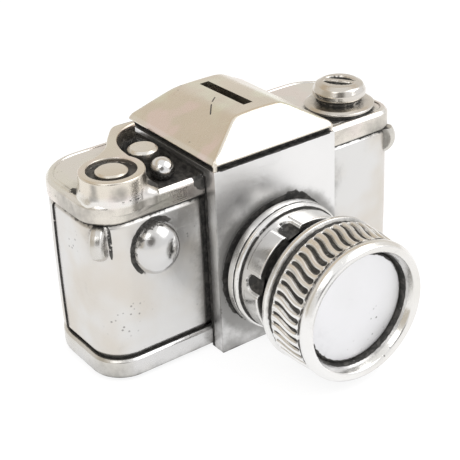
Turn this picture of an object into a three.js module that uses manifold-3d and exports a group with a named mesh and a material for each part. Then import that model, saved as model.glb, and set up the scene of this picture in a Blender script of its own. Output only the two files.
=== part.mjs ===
// A money box in the shape of a 35 mm single-lens reflex camera: hollow silver-plated castings, held
// together by four base screws and one long lens bolt, with a coin slot in the prism and a rubber
// stopper in the base.
// Millimetres, +Z up. The lens faces -Y and +X is on the right of someone who looks at the lens.
// The origin is on the base, under the middle of the coin slot and in the lens's own centre plane.
import * as THREE from "three";
import { mergeVertices } from "three/addons/utils/BufferGeometryUtils.js";
import Module from "manifold-3d";

const wasm = await Module();
wasm.setup();

// ---- Driving dimensions ----------------------------------------------------------------------
// Casing, seen from above: its reach to each side of the lens plane, its depth and its four corners.
const GRIP_REACH = 77.2;
const REWIND_REACH = 68;
const CASING_DEPTH = 51.4;
const GRIP_FRONT_RADIUS = 14;
const REWIND_FRONT_RADIUS = 9;
const REAR_RADIUS = 20;
const WALL = 2;

// Heights: the deck above the base, then the bands at both ends of the panels, and what rises from
// the deck or is sunk in it.
const DECK_TOP = 77.5;
const FLOOR = 3.2;
const BASE_BAND_TOP = 9.5;
const TOP_BAND_DEPTH = 8.7;
const PIT_DEPTH = 2.5;
const HUB_RISE = 8.5;
const PLINTH_RISE = 3.5;
const PRISM_WAIST_HEIGHT = 3.2;
const PRISM_HEIGHT = 11.1;

// The panels stand back from both bands, and the rear cover starts behind the casing's middle.
const PANEL_INSET = 1;
const COVER_JOINT = 8.3;

// Lens housing: the box in front of the casing, and the plinth on the deck that carries the prism.
const HOUSING_WIDTH = 58.1;
const HOUSING_PROUD = 6.5;
const PLINTH_OVERHANG = 3;
const CHUTE_LENGTH = 38;
const CHUTE_WIDTH = 40;

// Prism: how far its front and rear slopes run, its flanks, rounded shoulders and crown, how much its
// ridge falls towards the rear, and the slot.
const PRISM_FRONT_RUN = 11.2;
const PRISM_REAR_RUN = 9.5;
const PRISM_FLANK_RUN = 17.3;
const PRISM_CROWN = 0.7;
const PRISM_ROUNDING = 4.5;
const PRISM_RIDGE_FALL = 1.3;
const PRISM_WAIST = 2.2;
const SLOT_LENGTH = 30;
const SLOT_WIDTH = 4.4;

// Eyepiece frame, on the rear of the plinth.
const EYEPIECE_WIDTH = 18;
const EYEPIECE_DEPTH = 2.4;
const EYEPIECE_CORNER = 1.6;
const EYEPIECE_RIM = 1.4;

// Grip-side controls.
const HUB_RADIUS = 12.6;
const HUB_EDGE_GAP = 2.6;
const HUB_FRONT_PROUD = 0.8;
const HUB_WELL_RADIUS = 9.6;
const HUB_WELL_DEPTH = 2;
const HUB_DISC_RADIUS = 6.3;
const PIT_RIM = 2.3;
const DIAL_RADIUS = 6.1;
const DIAL_HEIGHT = 8;
const BUTTON_RADIUS = 4.3;
const DIAL_BUTTON_GAP = 2.9;
const LEVER_REAR_EDGE = 6.6;
const DIAL_SPIGOT = 2.5;
const BUTTON_SPIGOT = 1.8;
const HUB_SPIGOT_LENGTH = 5;

// Rewind-side controls.
const COLLAR_RADIUS = 14.6;
const COLLAR_HEIGHT = 3.4;
const KNOB_RADIUS = 11;
const KNOB_HEIGHT = 8.6;
const KNOB_EDGE_GAP = 1.2;
const KNOB_BAR_WIDTH = 2.4;
const KNOB_RECESS_RADIUS = 5.6;
const KNOB_RECESS_DEPTH = 1.6;
const KNOB_SPIGOT = 3;

// Trim on the front.
const DOME_HALF_WIDTH = 9.4;
const DOME_HALF_HEIGHT = 10.4;
const DOME_PROUD = 8.2;
const DOME_BELOW_DECK = 22.9;
const DOME_FROM_HOUSING = 23.2;
const LUG_RADIUS = 7.2;
const LUG_THICKNESS = 5.6;
const GRIP_LUG_BELOW_DECK = 16.5;
const REWIND_LUG_BELOW_DECK = 13.5;

// Lens: stations are distances in front of the housing's face.
const LENS_AXIS_HEIGHT = 32.6;
const MOUNT_RING_RADIUS = 27.3;
const MOUNT_RING_DEPTH = 8.3;
const MOUNT_COVE_DEPTH = 2.4;
const APERTURE_RING_RADIUS = 25.7;
const APERTURE_RING_DEPTH = 11.2;
const SCALLOP_COUNT = 6;
const SCALLOP_PHASE = -18;
const SCALLOP_RADIUS = 5.4;
const SCALLOP_SET_BACK = 2.6;
const SCALLOP_DEPTH = 2.2;
const NECK_RADIUS = 19.7;
const NECK_GAP = 8;
const NECK_COLLAR = 1.5;
const FLANGE_RADIUS = 29.8;
const FLANGE_DEPTH = 2.8;
const FLANGE_GROOVE_WIDTH = 1.8;
const FLANGE_GROOVE_DEPTH = 1.9;
const RIBBED_REAR_RADIUS = 29.6;
const RIBBED_FRONT_RADIUS = 28.5;
const RIBBED_LENGTH = 15.6;
const HUB_WEB = 6;
const SLEEVE_WALL = 3.2;
const BEZEL_RADIUS = 28.8;
const BEZEL_DEPTH = 5.1;
const BEZEL_OPENING_RADIUS = 23.6;
const FRONT_DISC_RADIUS = 22.9;
const FRONT_DISC_THICKNESS = 2;
const FRONT_DISC_SET_BACK = 2.4;

// Fasteners and the stopper.
const POST_RADIUS = 4.2;
const SCREW_RADIUS = 1.6;
const SCREW_HEAD_RADIUS = 3.3;
const SCREW_LENGTH = 16;
const BOLT_RADIUS = 3;
const BOLT_HEAD_RADIUS = 5.4;
const BOLT_HEAD_HEIGHT = 3.4;
const BOLT_TAIL = 2;
const WASHER_RADIUS = 7;
const WASHER_THICKNESS = 1.2;
const NUT_ACROSS_CORNERS = 11;
const NUT_HEIGHT = 5;
const STOPPER_RADIUS = 15.6;
const STOPPER_FLANGE_OVERHANG = 3;
const STOPPER_FLANGE_THICKNESS = 1.6;
const STOPPER_DEPTH = 8;
const STOPPER_TAPER = 0.6;

// Clearances.
const SEAT = 0.3;
const RUNNING = 0.1;
const END_PLAY = 0.35;
const POST_TO_WALL = 0.6;
const STOPPER_RECESS = 0.4;

// Facets.
const FINE = 40;
const COARSE = 20;
const SMALL = 12;

// ---- Derived places --------------------------------------------------------------------------
const TOP_BAND_BOTTOM = DECK_TOP - TOP_BAND_DEPTH;
const PIT_FLOOR = DECK_TOP - PIT_DEPTH;
const HUB_TOP = DECK_TOP + HUB_RISE;
const PLINTH_TOP = DECK_TOP + PLINTH_RISE;
const PRISM_BASE = PLINTH_TOP + PRISM_WAIST_HEIGHT;
const PRISM_TOP = PRISM_BASE + PRISM_HEIGHT;
const frontY = -CASING_DEPTH / 2;
const rearY = CASING_DEPTH / 2;
const panelFrontY = frontY + PANEL_INSET;
const housingFrontY = frontY - HOUSING_PROUD;
const halfHousing = HOUSING_WIDTH / 2;
const plinthRearY = rearY + PLINTH_OVERHANG;
const hubX = -GRIP_REACH + HUB_EDGE_GAP + HUB_RADIUS;
const hubY = frontY - HUB_FRONT_PROUD + HUB_RADIUS;
const stopperFlange = STOPPER_RADIUS + STOPPER_FLANGE_OVERHANG;
const knobX = REWIND_REACH - KNOB_EDGE_GAP - COLLAR_RADIUS - 2;
const knobY = frontY + KNOB_EDGE_GAP + COLLAR_RADIUS;

// ---- Making and joining solids ---------------------------------------------------------------
function solidFrom(geometry) {
  const bare = geometry.index ? geometry.toNonIndexed() : geometry.clone();
  bare.deleteAttribute("normal");
  bare.deleteAttribute("uv");
  const merged = mergeVertices(bare, 1e-4);
  return new wasm.Manifold(
    new wasm.Mesh({
      numProp: 3,
      vertProperties: merged.attributes.position.array,
      triVerts: new Uint32Array(merged.index.array),
    }),
  );
}

function geometryFrom(solid) {
  const made = solid.getMesh();
  const geometry = new THREE.BufferGeometry();
  geometry.setAttribute("position", new THREE.BufferAttribute(made.vertProperties, 3));
  geometry.setIndex(new THREE.BufferAttribute(made.triVerts, 1));
  const flat = geometry.toNonIndexed();
  flat.computeVertexNormals();
  return flat;
}

// An outline in plan, raised from one height to another.
function raised(shape, bottom, top, curveSegments = 10) {
  const settings = { depth: top - bottom, bevelEnabled: false, curveSegments };
  return solidFrom(new THREE.ExtrudeGeometry(shape, settings).translate(0, 0, bottom));
}

function block(x0, x1, y0, y1, z0, z1) {
  const box = new THREE.BoxGeometry(x1 - x0, y1 - y0, z1 - z0);
  return solidFrom(box.translate((x0 + x1) / 2, (y0 + y1) / 2, (z0 + z1) / 2));
}

// Axis swaps with exact zeros and ones, so that faces keep their coordinates.
const LATHE_TO_UP = new THREE.Matrix4().set(0, 0, 1, 0, 1, 0, 0, 0, 0, 1, 0, 0, 0, 0, 0, 1);
const LATHE_TO_FRONT = new THREE.Matrix4().set(1, 0, 0, 0, 0, -1, 0, 0, 0, 0, -1, 0, 0, 0, 0, 1);

function turned(profile, segments) {
  const points = profile.map(([radius, along]) => new THREE.Vector2(radius, along));
  return new THREE.LatheGeometry([...points, points[0].clone()], segments);
}

// A turned piece that stands at x, y. The profile runs anticlockwise as [radius, height] pairs.
function upright(x, y, profile, segments = FINE) {
  return solidFrom(turned(profile, segments).applyMatrix4(LATHE_TO_UP).translate(x, y, 0));
}

// A turned piece on an axis that leaves the front. Heights are distances in front of fromY.
function facingFront(x, fromY, z, profile, segments = FINE) {
  return solidFrom(turned(profile, segments).applyMatrix4(LATHE_TO_FRONT).translate(x, fromY, z));
}

function rod(radius, bottom, top) {
  return [[0, bottom], [radius, bottom], [radius, top], [0, top]];
}

function tube(inner, outer, bottom, top) {
  return [[inner, bottom], [outer, bottom], [outer, top], [inner, top]];
}

function lensTurned(profile, segments = FINE) {
  return facingFront(0, housingFrontY, LENS_AXIS_HEIGHT, profile, segments);
}

// ---- Outlines in plan ------------------------------------------------------------------------
// The casing's corners in turn: which way each points, and its radius.
const CORNERS = [
  { x: -1, y: -1, radius: GRIP_FRONT_RADIUS },
  { x: 1, y: -1, radius: REWIND_FRONT_RADIUS },
  { x: 1, y: 1, radius: REAR_RADIUS },
  { x: -1, y: 1, radius: REAR_RADIUS },
];

function cornerCentre(corner) {
  const reach = corner.x < 0 ? GRIP_REACH : REWIND_REACH;
  return {
    x: corner.x * (reach - corner.radius),
    y: corner.y * (CASING_DEPTH / 2 - corner.radius),
  };
}

function casingOutline(inset) {
  const shape = new THREE.Shape();
  CORNERS.forEach((corner, i) => {
    const centre = cornerCentre(corner);
    const start = Math.PI * (1 + i / 2);
    shape.absarc(centre.x, centre.y, corner.radius - inset, start, start + Math.PI / 2, false);
  });
  shape.closePath();
  return shape;
}

function roundedBox(x0, x1, y0, y1, radius) {
  const shape = new THREE.Shape();
  shape.absarc(x0 + radius, y0 + radius, radius, Math.PI, 1.5 * Math.PI, false);
  shape.absarc(x1 - radius, y0 + radius, radius, 1.5 * Math.PI, 2 * Math.PI, false);
  shape.absarc(x1 - radius, y1 - radius, radius, 0, 0.5 * Math.PI, false);
  shape.absarc(x0 + radius, y1 - radius, radius, 0.5 * Math.PI, Math.PI, false);
  shape.closePath();
  return shape;
}

// The wind lever leaves the hub on the grip side and curls back to the prism's rear corner. Its two
// edges are given as shares of the way from the hub's middle to the lever's far corner.
const LEVER_INNER = [[0.37, 0.1], [0.41, 0.42], [0.52, 0.66], [0.72, 0.84], [0.97, 0.92]];
const LEVER_OUTER = [[-0.3, 0.2], [-0.02, 0.37], [0.25, 0.53], [0.46, 0.78], [0.66, 0.98], [0.86, 0.995]];

function leverPoint([u, v]) {
  const reach = -halfHousing - 3 - hubX;
  const length = rearY - LEVER_REAR_EDGE - hubY;
  return new THREE.Vector2(hubX + u * reach, hubY + v * length);
}

function leverOutline() {
  const inner = LEVER_INNER.map(leverPoint);
  const outer = LEVER_OUTER.map(leverPoint).reverse();
  const shape = new THREE.Shape();
  shape.moveTo(hubX, hubY);
  shape.lineTo(inner[0].x, inner[0].y);
  shape.splineThru(inner.slice(1));
  shape.splineThru(outer);
  shape.closePath();
  return shape;
}

// The pit beside the hub: its open side follows the middle of the lever, which roofs its edge.
function pitOutline() {
  const middle = LEVER_INNER.map(([u, v], i) => {
    const [otherU, otherV] = LEVER_OUTER[i];
    return leverPoint([(u + otherU) / 2, (v + otherV) / 2]);
  });
  const shape = new THREE.Shape();
  shape.moveTo(middle[0].x, pitFront);
  shape.lineTo(pitRight, pitFront);
  shape.lineTo(pitRight, middle[4].y);
  middle.reverse().forEach((point) => shape.lineTo(point.x, point.y));
  shape.closePath();
  return shape;
}

// The prism's cross-section: straight flanks, rounded shoulders and a slight crown.
function archOutline(halfWidth, height) {
  const shoulder = { x: halfWidth - PRISM_FLANK_RUN, z: height - PRISM_CROWN };
  const share = PRISM_ROUNDING / PRISM_FLANK_RUN;
  const flankTop = { x: shoulder.x + PRISM_ROUNDING, z: shoulder.z * (1 - share) };
  const crown = { x: shoulder.x - PRISM_ROUNDING, z: shoulder.z + 0.4 * PRISM_CROWN };
  const shape = new THREE.Shape();
  shape.moveTo(-halfWidth, 0);
  shape.lineTo(halfWidth, 0);
  shape.lineTo(flankTop.x, flankTop.z);
  shape.quadraticCurveTo(shoulder.x, shoulder.z, crown.x, crown.z);
  shape.quadraticCurveTo(0, height + 0.6 * PRISM_CROWN, -crown.x, crown.z);
  shape.quadraticCurveTo(-shoulder.x, shoulder.z, -flankTop.x, flankTop.z);
  shape.closePath();
  return shape;
}

// ---- Casing ----------------------------------------------------------------------------------
function postPlaces() {
  return CORNERS.map((corner) => {
    const centre = cornerCentre(corner);
    const spare = corner.radius - PANEL_INSET - WALL - POST_RADIUS - POST_TO_WALL;
    const step = Math.max(spare, 0) * Math.SQRT1_2;
    return { x: centre.x + corner.x * step, y: centre.y + corner.y * step };
  });
}

// Where the housing's box passes in front of a band, the band is cut back to the panel.
function housingNotch(bottom, top) {
  const half = halfHousing + SEAT;
  return block(-half, half, frontY - 1, panelFrontY, bottom, top);
}

function panelRing() {
  const outside = raised(casingOutline(PANEL_INSET), BASE_BAND_TOP, TOP_BAND_BOTTOM);
  const inside = raised(casingOutline(PANEL_INSET + WALL), BASE_BAND_TOP - 1, TOP_BAND_BOTTOM + 1);
  return outside.subtract(inside);
}

function frontShell() {
  const behind = block(-GRIP_REACH, REWIND_REACH, COVER_JOINT, rearY, 0, TOP_BAND_BOTTOM + 1);
  const boltHole = lensTurned(rod(BOLT_RADIUS + SEAT, -HOUSING_PROUD - 10, 0), COARSE);
  return panelRing().subtract(behind).subtract(boltHole);
}

function rearCover() {
  const ahead = block(-GRIP_REACH, REWIND_REACH, frontY, COVER_JOINT, 0, TOP_BAND_BOTTOM + 1);
  return panelRing().subtract(ahead);
}

const stopperX = -GRIP_REACH / 2;
const screwSink = 0.4;

function basePlate() {
  const recess = STOPPER_FLANGE_THICKNESS + STOPPER_RECESS;
  let plate = raised(casingOutline(0), 0, BASE_BAND_TOP);
  plate = plate.subtract(raised(casingOutline(WALL + PANEL_INSET), FLOOR, BASE_BAND_TOP + 1));
  const boss = rod(stopperFlange + WALL, FLOOR / 2, FLOOR + recess);
  plate = plate.add(upright(stopperX, 0, boss));
  plate = plate.subtract(upright(stopperX, 0, rod(STOPPER_RADIUS + SEAT, -1, BASE_BAND_TOP)));
  plate = plate.subtract(upright(stopperX, 0, rod(stopperFlange + SEAT, -1, recess)));
  plate = plate.subtract(housingNotch(-1, BASE_BAND_TOP + 1));
  const head = SCREW_HEAD_RADIUS + SEAT;
  const shank = SCREW_RADIUS + SEAT;
  const coneEnd = screwSink + 0.2 + head - shank;
  const above = FLOOR + 1;
  const sink = [[0, -1], [head, -1], [head, screwSink + 0.2], [shank, coneEnd], [shank, above], [0, above]];
  for (const { x, y } of postPlaces()) plate = plate.subtract(upright(x, y, sink, SMALL));
  return plate;
}

// A countersunk screw with a crossing slot. It goes up into a post of the top plate.
function baseScrew({ x, y }) {
  const coneEnd = screwSink + 0.6 + SCREW_HEAD_RADIUS - SCREW_RADIUS;
  const profile = [
    [0, screwSink],
    [SCREW_HEAD_RADIUS, screwSink],
    [SCREW_HEAD_RADIUS, screwSink + 0.2],
    [SCREW_RADIUS, coneEnd - 0.4],
    [SCREW_RADIUS, SCREW_LENGTH],
    [0, SCREW_LENGTH + 1],
  ];
  const drive = block(x - 2.4, x + 2.4, y - 0.5, y + 0.5, screwSink - 1, screwSink + 0.9);
  return upright(x, y, profile, SMALL).subtract(drive);
}

function coinStopper() {
  const bottom = STOPPER_RECESS;
  const top = bottom + STOPPER_FLANGE_THICKNESS;
  const profile = [
    [0, bottom + 1.2],
    [STOPPER_RADIUS - 5, bottom + 1.2],
    [STOPPER_RADIUS - 4, bottom],
    [stopperFlange, bottom],
    [stopperFlange, top],
    [STOPPER_RADIUS, top],
    [STOPPER_RADIUS - STOPPER_TAPER, STOPPER_DEPTH],
    [STOPPER_RADIUS - STOPPER_TAPER - WALL, STOPPER_DEPTH],
    [STOPPER_RADIUS - STOPPER_TAPER - WALL, top + 1],
    [0, top + 1],
  ];
  return upright(stopperX, 0, profile, COARSE * 1.5);
}

// ---- Top plate and its controls ---------------------------------------------------------------
const pitRight = -halfHousing - SEAT;
const pitFront = frontY + PIT_RIM;

// The dial and the shutter button stand one behind the other in the pit.
const dial = { x: (hubX + HUB_RADIUS + pitRight) / 2, y: hubY + HUB_RADIUS + 2.2 };
const button = { x: dial.x, y: dial.y - DIAL_RADIUS - DIAL_BUTTON_GAP - BUTTON_RADIUS };

function topPlate() {
  let plate = raised(casingOutline(0), TOP_BAND_BOTTOM, DECK_TOP);
  const hollow = casingOutline(WALL + PANEL_INSET);
  plate = plate.subtract(raised(hollow, TOP_BAND_BOTTOM - 1, DECK_TOP - WALL));
  plate = plate.subtract(housingNotch(TOP_BAND_BOTTOM - 1, DECK_TOP + 1));
  const underPit = PIT_FLOOR - WALL;
  const inside = rearY - WALL - PANEL_INSET;
  plate = plate.add(block(hubX, pitRight + WALL, pitFront - 1, inside, underPit, DECK_TOP));
  plate = plate.subtract(raised(pitOutline(), PIT_FLOOR, DECK_TOP + 1));
  plate = plate.add(upright(hubX, hubY, rod(HUB_RADIUS, underPit, HUB_TOP)));
  plate = plate.add(raised(leverOutline(), PIT_FLOOR - WALL / 2, HUB_TOP, 5));
  for (const { x, y } of postPlaces()) {
    plate = plate.add(upright(x, y, rod(POST_RADIUS, FLOOR, DECK_TOP - 1), SMALL));
    plate = plate.subtract(upright(x, y, rod(SCREW_RADIUS + SEAT, 0, SCREW_LENGTH + 3), SMALL));
  }
  const well = HUB_TOP - HUB_WELL_DEPTH;
  plate = plate.subtract(upright(hubX, hubY, rod(HUB_WELL_RADIUS, well, HUB_TOP + 1)));
  const holes = [
    [hubX, hubY, DIAL_SPIGOT, well - HUB_SPIGOT_LENGTH - SEAT, HUB_TOP],
    [dial.x, dial.y, DIAL_SPIGOT, underPit - 1, DECK_TOP],
    [button.x, button.y, BUTTON_SPIGOT, underPit - 1, DECK_TOP],
    [knobX, knobY, KNOB_SPIGOT, TOP_BAND_BOTTOM, DECK_TOP + 1],
  ];
  for (const [x, y, radius, bottom, top] of holes) {
    plate = plate.subtract(upright(x, y, rod(radius + SEAT, bottom, top), SMALL));
  }
  const half = CHUTE_LENGTH / 2;
  return plate.subtract(block(-CHUTE_WIDTH / 2, CHUTE_WIDTH / 2, -half, half, 0, DECK_TOP + 1));
}

function windHubDisc() {
  const under = HUB_TOP - HUB_WELL_DEPTH;
  const profile = [
    [0, under - HUB_SPIGOT_LENGTH],
    [DIAL_SPIGOT, under - HUB_SPIGOT_LENGTH],
    [DIAL_SPIGOT, under],
    [HUB_DISC_RADIUS, under],
    [HUB_DISC_RADIUS, HUB_TOP - 0.7],
    [HUB_DISC_RADIUS - 0.8, HUB_TOP - 0.2],
    [0, HUB_TOP],
  ];
  return upright(hubX, hubY, profile, COARSE * 1.5);
}

function speedDial() {
  const top = PIT_FLOOR + DIAL_HEIGHT;
  const profile = [
    [0, PIT_FLOOR - WALL],
    [DIAL_SPIGOT, PIT_FLOOR - WALL],
    [DIAL_SPIGOT, PIT_FLOOR],
    [DIAL_RADIUS, PIT_FLOOR],
    [DIAL_RADIUS, top - 1.1],
    [DIAL_RADIUS - 1, top - 0.2],
    [0, top],
  ];
  return upright(dial.x, dial.y, profile, COARSE);
}

function shutterButton() {
  const centre = PIT_FLOOR + 0.86 * BUTTON_RADIUS;
  const foot = Math.asin(0.86);
  const under = PIT_FLOOR - WALL;
  const profile = [[0, under], [BUTTON_SPIGOT, under], [BUTTON_SPIGOT, PIT_FLOOR]];
  const rings = 7;
  for (let i = 0; i < rings; i++) {
    const angle = -foot + (i / rings) * (foot + Math.PI / 2);
    profile.push([BUTTON_RADIUS * Math.cos(angle), centre + BUTTON_RADIUS * Math.sin(angle)]);
  }
  profile.push([0, centre + BUTTON_RADIUS]);
  return upright(button.x, button.y, profile, COARSE);
}

function rewindCollar() {
  const top = DECK_TOP + COLLAR_HEIGHT;
  const profile = [
    [KNOB_SPIGOT + SEAT, DECK_TOP],
    [COLLAR_RADIUS - 1, DECK_TOP],
    [COLLAR_RADIUS - 1, DECK_TOP + 0.9],
    [COLLAR_RADIUS, DECK_TOP + 1.4],
    [COLLAR_RADIUS, DECK_TOP + 2.1],
    [COLLAR_RADIUS - 1.4, top - 0.3],
    [KNOB_RADIUS - 1.6, top],
    [KNOB_SPIGOT + SEAT, top],
  ];
  return upright(knobX, knobY, profile, COARSE * 1.5);
}

// Two crescent recesses leave a bar across the knob's top.
function rewindKnob() {
  const bottom = DECK_TOP + COLLAR_HEIGHT;
  const top = bottom + KNOB_HEIGHT;
  const profile = [
    [0, DECK_TOP - WALL],
    [KNOB_SPIGOT, DECK_TOP - WALL],
    [KNOB_SPIGOT, bottom],
    [KNOB_RADIUS - 2, bottom],
    [KNOB_RADIUS - 1.6, bottom + 1.4],
    [KNOB_RADIUS, bottom + 3],
    [KNOB_RADIUS, bottom + 5],
    [KNOB_RADIUS - 0.8, bottom + 6.8],
    [KNOB_RADIUS - 3, top - 0.5],
    [0, top],
  ];
  const body = upright(knobX, knobY, profile, COARSE * 1.5);
  const depth = top - KNOB_RECESS_DEPTH;
  const bowl = upright(knobX, knobY, rod(KNOB_RECESS_RADIUS, depth, top + 1), COARSE);
  const half = KNOB_BAR_WIDTH / 2;
  const bar = block(knobX - 20, knobX + 20, knobY - half, knobY + half, depth - 1, top + 2);
  return body.subtract(bowl.subtract(bar));
}

// ---- Lens housing and prism -------------------------------------------------------------------
function lensHousing() {
  let housing = block(-halfHousing, halfHousing, housingFrontY, panelFrontY, 0, PLINTH_TOP);
  const inner = halfHousing - WALL;
  const front = housingFrontY + WALL;
  housing = housing.subtract(block(-inner, inner, front, panelFrontY + 1, WALL, DECK_TOP - WALL));
  const plinth = [panelFrontY - 1, plinthRearY, DECK_TOP, PLINTH_TOP];
  housing = housing.add(block(-halfHousing, halfHousing, ...plinth));
  const boss = BOLT_HEAD_RADIUS + 3;
  housing = housing.add(lensTurned(rod(boss, -HOUSING_PROUD - PANEL_INSET, -1), COARSE));
  housing = housing.subtract(lensTurned(rod(BOLT_RADIUS + SEAT, -20, 1), COARSE));
  const half = CHUTE_LENGTH / 2;
  const chute = block(-CHUTE_WIDTH / 2, CHUTE_WIDTH / 2, -half, half, DECK_TOP - 1, PLINTH_TOP + 1);
  return housing.subtract(chute);
}

// The prism's arch runs from front to rear, with a ridge that falls a little on the way.
function prismArch(inset) {
  const height = PRISM_TOP - PRISM_BASE - inset;
  const front = housingFrontY + inset;
  const length = plinthRearY - inset - front;
  const settings = { depth: length, steps: 4, bevelEnabled: false, curveSegments: 6 };
  const geometry = new THREE.ExtrudeGeometry(archOutline(halfHousing - inset, height), settings);
  const place = geometry.attributes.position;
  for (let i = 0; i < place.count; i++) {
    const fall = 1 - (PRISM_RIDGE_FALL / height) * (place.getZ(i) / length);
    place.setXYZ(i, place.getX(i), front + place.getZ(i), PRISM_BASE + place.getY(i) * fall);
  }
  const index = [];
  for (let i = 0; i < place.count; i += 3) index.push(i, i + 2, i + 1);
  geometry.setIndex(index);
  return solidFrom(geometry);
}

// Everything beyond the slope that rises from one end of the prism. Outward is -1 at the front.
function beyondSlope(edgeY, outward, run, inset) {
  const rise = PRISM_TOP - PRISM_BASE;
  const shift = inset * Math.hypot(1, run / rise);
  const far = edgeY + outward * 20;
  const shape = new THREE.Shape();
  shape.moveTo(far, PRISM_BASE - 1);
  shape.lineTo(edgeY - outward * (shift - run / rise), PRISM_BASE - 1);
  shape.lineTo(edgeY - outward * (shift + 1.5 * run), PRISM_BASE + 1.5 * rise);
  shape.lineTo(far, PRISM_BASE + 1.5 * rise);
  shape.closePath();
  const width = 2 * halfHousing + 10;
  const wedge = new THREE.ExtrudeGeometry(shape, { depth: width, bevelEnabled: false });
  const stand = new THREE.Matrix4().set(0, 0, 1, -width / 2, 1, 0, 0, 0, 0, 1, 0, 0, 0, 0, 0, 1);
  return solidFrom(wedge.applyMatrix4(stand));
}

function prismHip(inset) {
  const ahead = beyondSlope(housingFrontY, -1, PRISM_FRONT_RUN, inset);
  const behind = beyondSlope(plinthRearY, 1, PRISM_REAR_RUN, inset);
  return prismArch(inset).subtract(ahead).subtract(behind);
}

// The prism stands on a waist that is narrower than the plinth below and the lip above.
function prismCap() {
  const waist = halfHousing - PRISM_WAIST;
  const front = housingFrontY + PRISM_WAIST;
  const rear = plinthRearY - PRISM_WAIST;
  const overlap = PRISM_BASE + 0.5;
  const half = CHUTE_LENGTH / 2;
  const well = block(-CHUTE_WIDTH / 2, CHUTE_WIDTH / 2, -half, half, PLINTH_TOP - 1, PRISM_TOP);
  const below = block(-waist + WALL, waist - WALL, -half, half, PLINTH_TOP - 1, overlap);
  const slot = SLOT_WIDTH / 2;
  return prismHip(0)
    .add(block(-waist, waist, front, rear, PLINTH_TOP, overlap))
    .subtract(well.intersect(prismHip(WALL).add(below)))
    .subtract(block(-slot, slot, -SLOT_LENGTH / 2, SLOT_LENGTH / 2, PRISM_BASE, PRISM_TOP + 5));
}

// The eyepiece: a blind frame on the plinth's rear face, up to the prism's lip.
function eyepieceFrame() {
  const bottom = DECK_TOP + 2 * SEAT;
  const top = PRISM_BASE - SEAT;
  const rear = plinthRearY + SEAT + EYEPIECE_DEPTH;
  const stand = new THREE.Matrix4().set(1, 0, 0, 0, 0, 0, -1, 0, 0, 1, 0, 0, 0, 0, 0, 1);
  const plate = (inset, depth, behind) => {
    const half = EYEPIECE_WIDTH / 2 - inset;
    const shape = roundedBox(-half, half, bottom + inset, top - inset, EYEPIECE_CORNER - inset / 2);
    const geometry = new THREE.ExtrudeGeometry(shape, { depth, bevelEnabled: false, curveSegments: 5 });
    return solidFrom(geometry.applyMatrix4(stand).translate(0, behind, 0));
  };
  return plate(0, EYEPIECE_DEPTH, rear).subtract(plate(EYEPIECE_RIM, 2, rear + 1));
}

// ---- Trim on the front ------------------------------------------------------------------------
function gripDome() {
  const profile = [[0, 0]];
  const rings = 8;
  for (let i = 0; i < rings; i++) {
    const angle = (i / rings) * (Math.PI / 2);
    profile.push([DOME_HALF_WIDTH * Math.cos(angle), DOME_PROUD * Math.sin(angle)]);
  }
  profile.push([0, DOME_PROUD]);
  const dome = turned(profile, COARSE).applyMatrix4(LATHE_TO_FRONT);
  dome.scale(1, 1, DOME_HALF_HEIGHT / DOME_HALF_WIDTH);
  const x = -halfHousing - DOME_FROM_HOUSING;
  return solidFrom(dome.translate(x, panelFrontY, DECK_TOP - DOME_BELOW_DECK));
}

// A strap lug: an upright round-edged ear that stands out of a front corner. What would lie inside
// the panel or the band above it is cut away.
function strapLug(corner, height) {
  const centre = cornerCentre(corner);
  const surface = corner.radius - PANEL_INSET;
  const half = LUG_THICKNESS / 2;
  const ear = turned(
    [
      [0, -half],
      [LUG_RADIUS - 1.2, -half],
      [LUG_RADIUS, -half / 3],
      [LUG_RADIUS, half / 3],
      [LUG_RADIUS - 1.2, half],
      [0, half],
    ],
    COARSE,
  );
  ear.rotateZ((-corner.x * Math.PI) / 4);
  const out = (surface - 1.2) * Math.SQRT1_2;
  ear.translate(centre.x + corner.x * out, centre.y - out, height);
  const panel = raised(casingOutline(PANEL_INSET - SEAT), 0, DECK_TOP);
  const band = raised(casingOutline(-SEAT), TOP_BAND_BOTTOM - SEAT, DECK_TOP);
  return solidFrom(ear).subtract(panel).subtract(band);
}

// ---- Lens ------------------------------------------------------------------------------------
const apertureFront = MOUNT_RING_DEPTH + APERTURE_RING_DEPTH;
const focusRear = apertureFront + NECK_GAP;
const neckFront = focusRear + HUB_WEB + END_PLAY;
const ribbedRear = focusRear + FLANGE_DEPTH + FLANGE_GROOVE_WIDTH;
const bezelRear = ribbedRear + RIBBED_LENGTH;
const bezelFront = bezelRear + BEZEL_DEPTH;
const sleeveInner = RIBBED_FRONT_RADIUS - SLEEVE_WALL;
const discRear = bezelRear - FRONT_DISC_SET_BACK;

// The mount ring stands off the housing on a cove and steps down towards the aperture ring.
function mountRing() {
  const profile = [
    [NECK_RADIUS + SEAT, 0],
    [MOUNT_RING_RADIUS - 2, 0],
    [MOUNT_RING_RADIUS - 2, MOUNT_COVE_DEPTH - 0.6],
    [MOUNT_RING_RADIUS, MOUNT_COVE_DEPTH],
    [MOUNT_RING_RADIUS, MOUNT_RING_DEPTH - 2.2],
    [MOUNT_RING_RADIUS - 0.8, MOUNT_RING_DEPTH - 1.7],
    [MOUNT_RING_RADIUS - 0.8, MOUNT_RING_DEPTH],
    [NECK_RADIUS + SEAT, MOUNT_RING_DEPTH],
  ];
  return lensTurned(profile);
}

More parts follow.
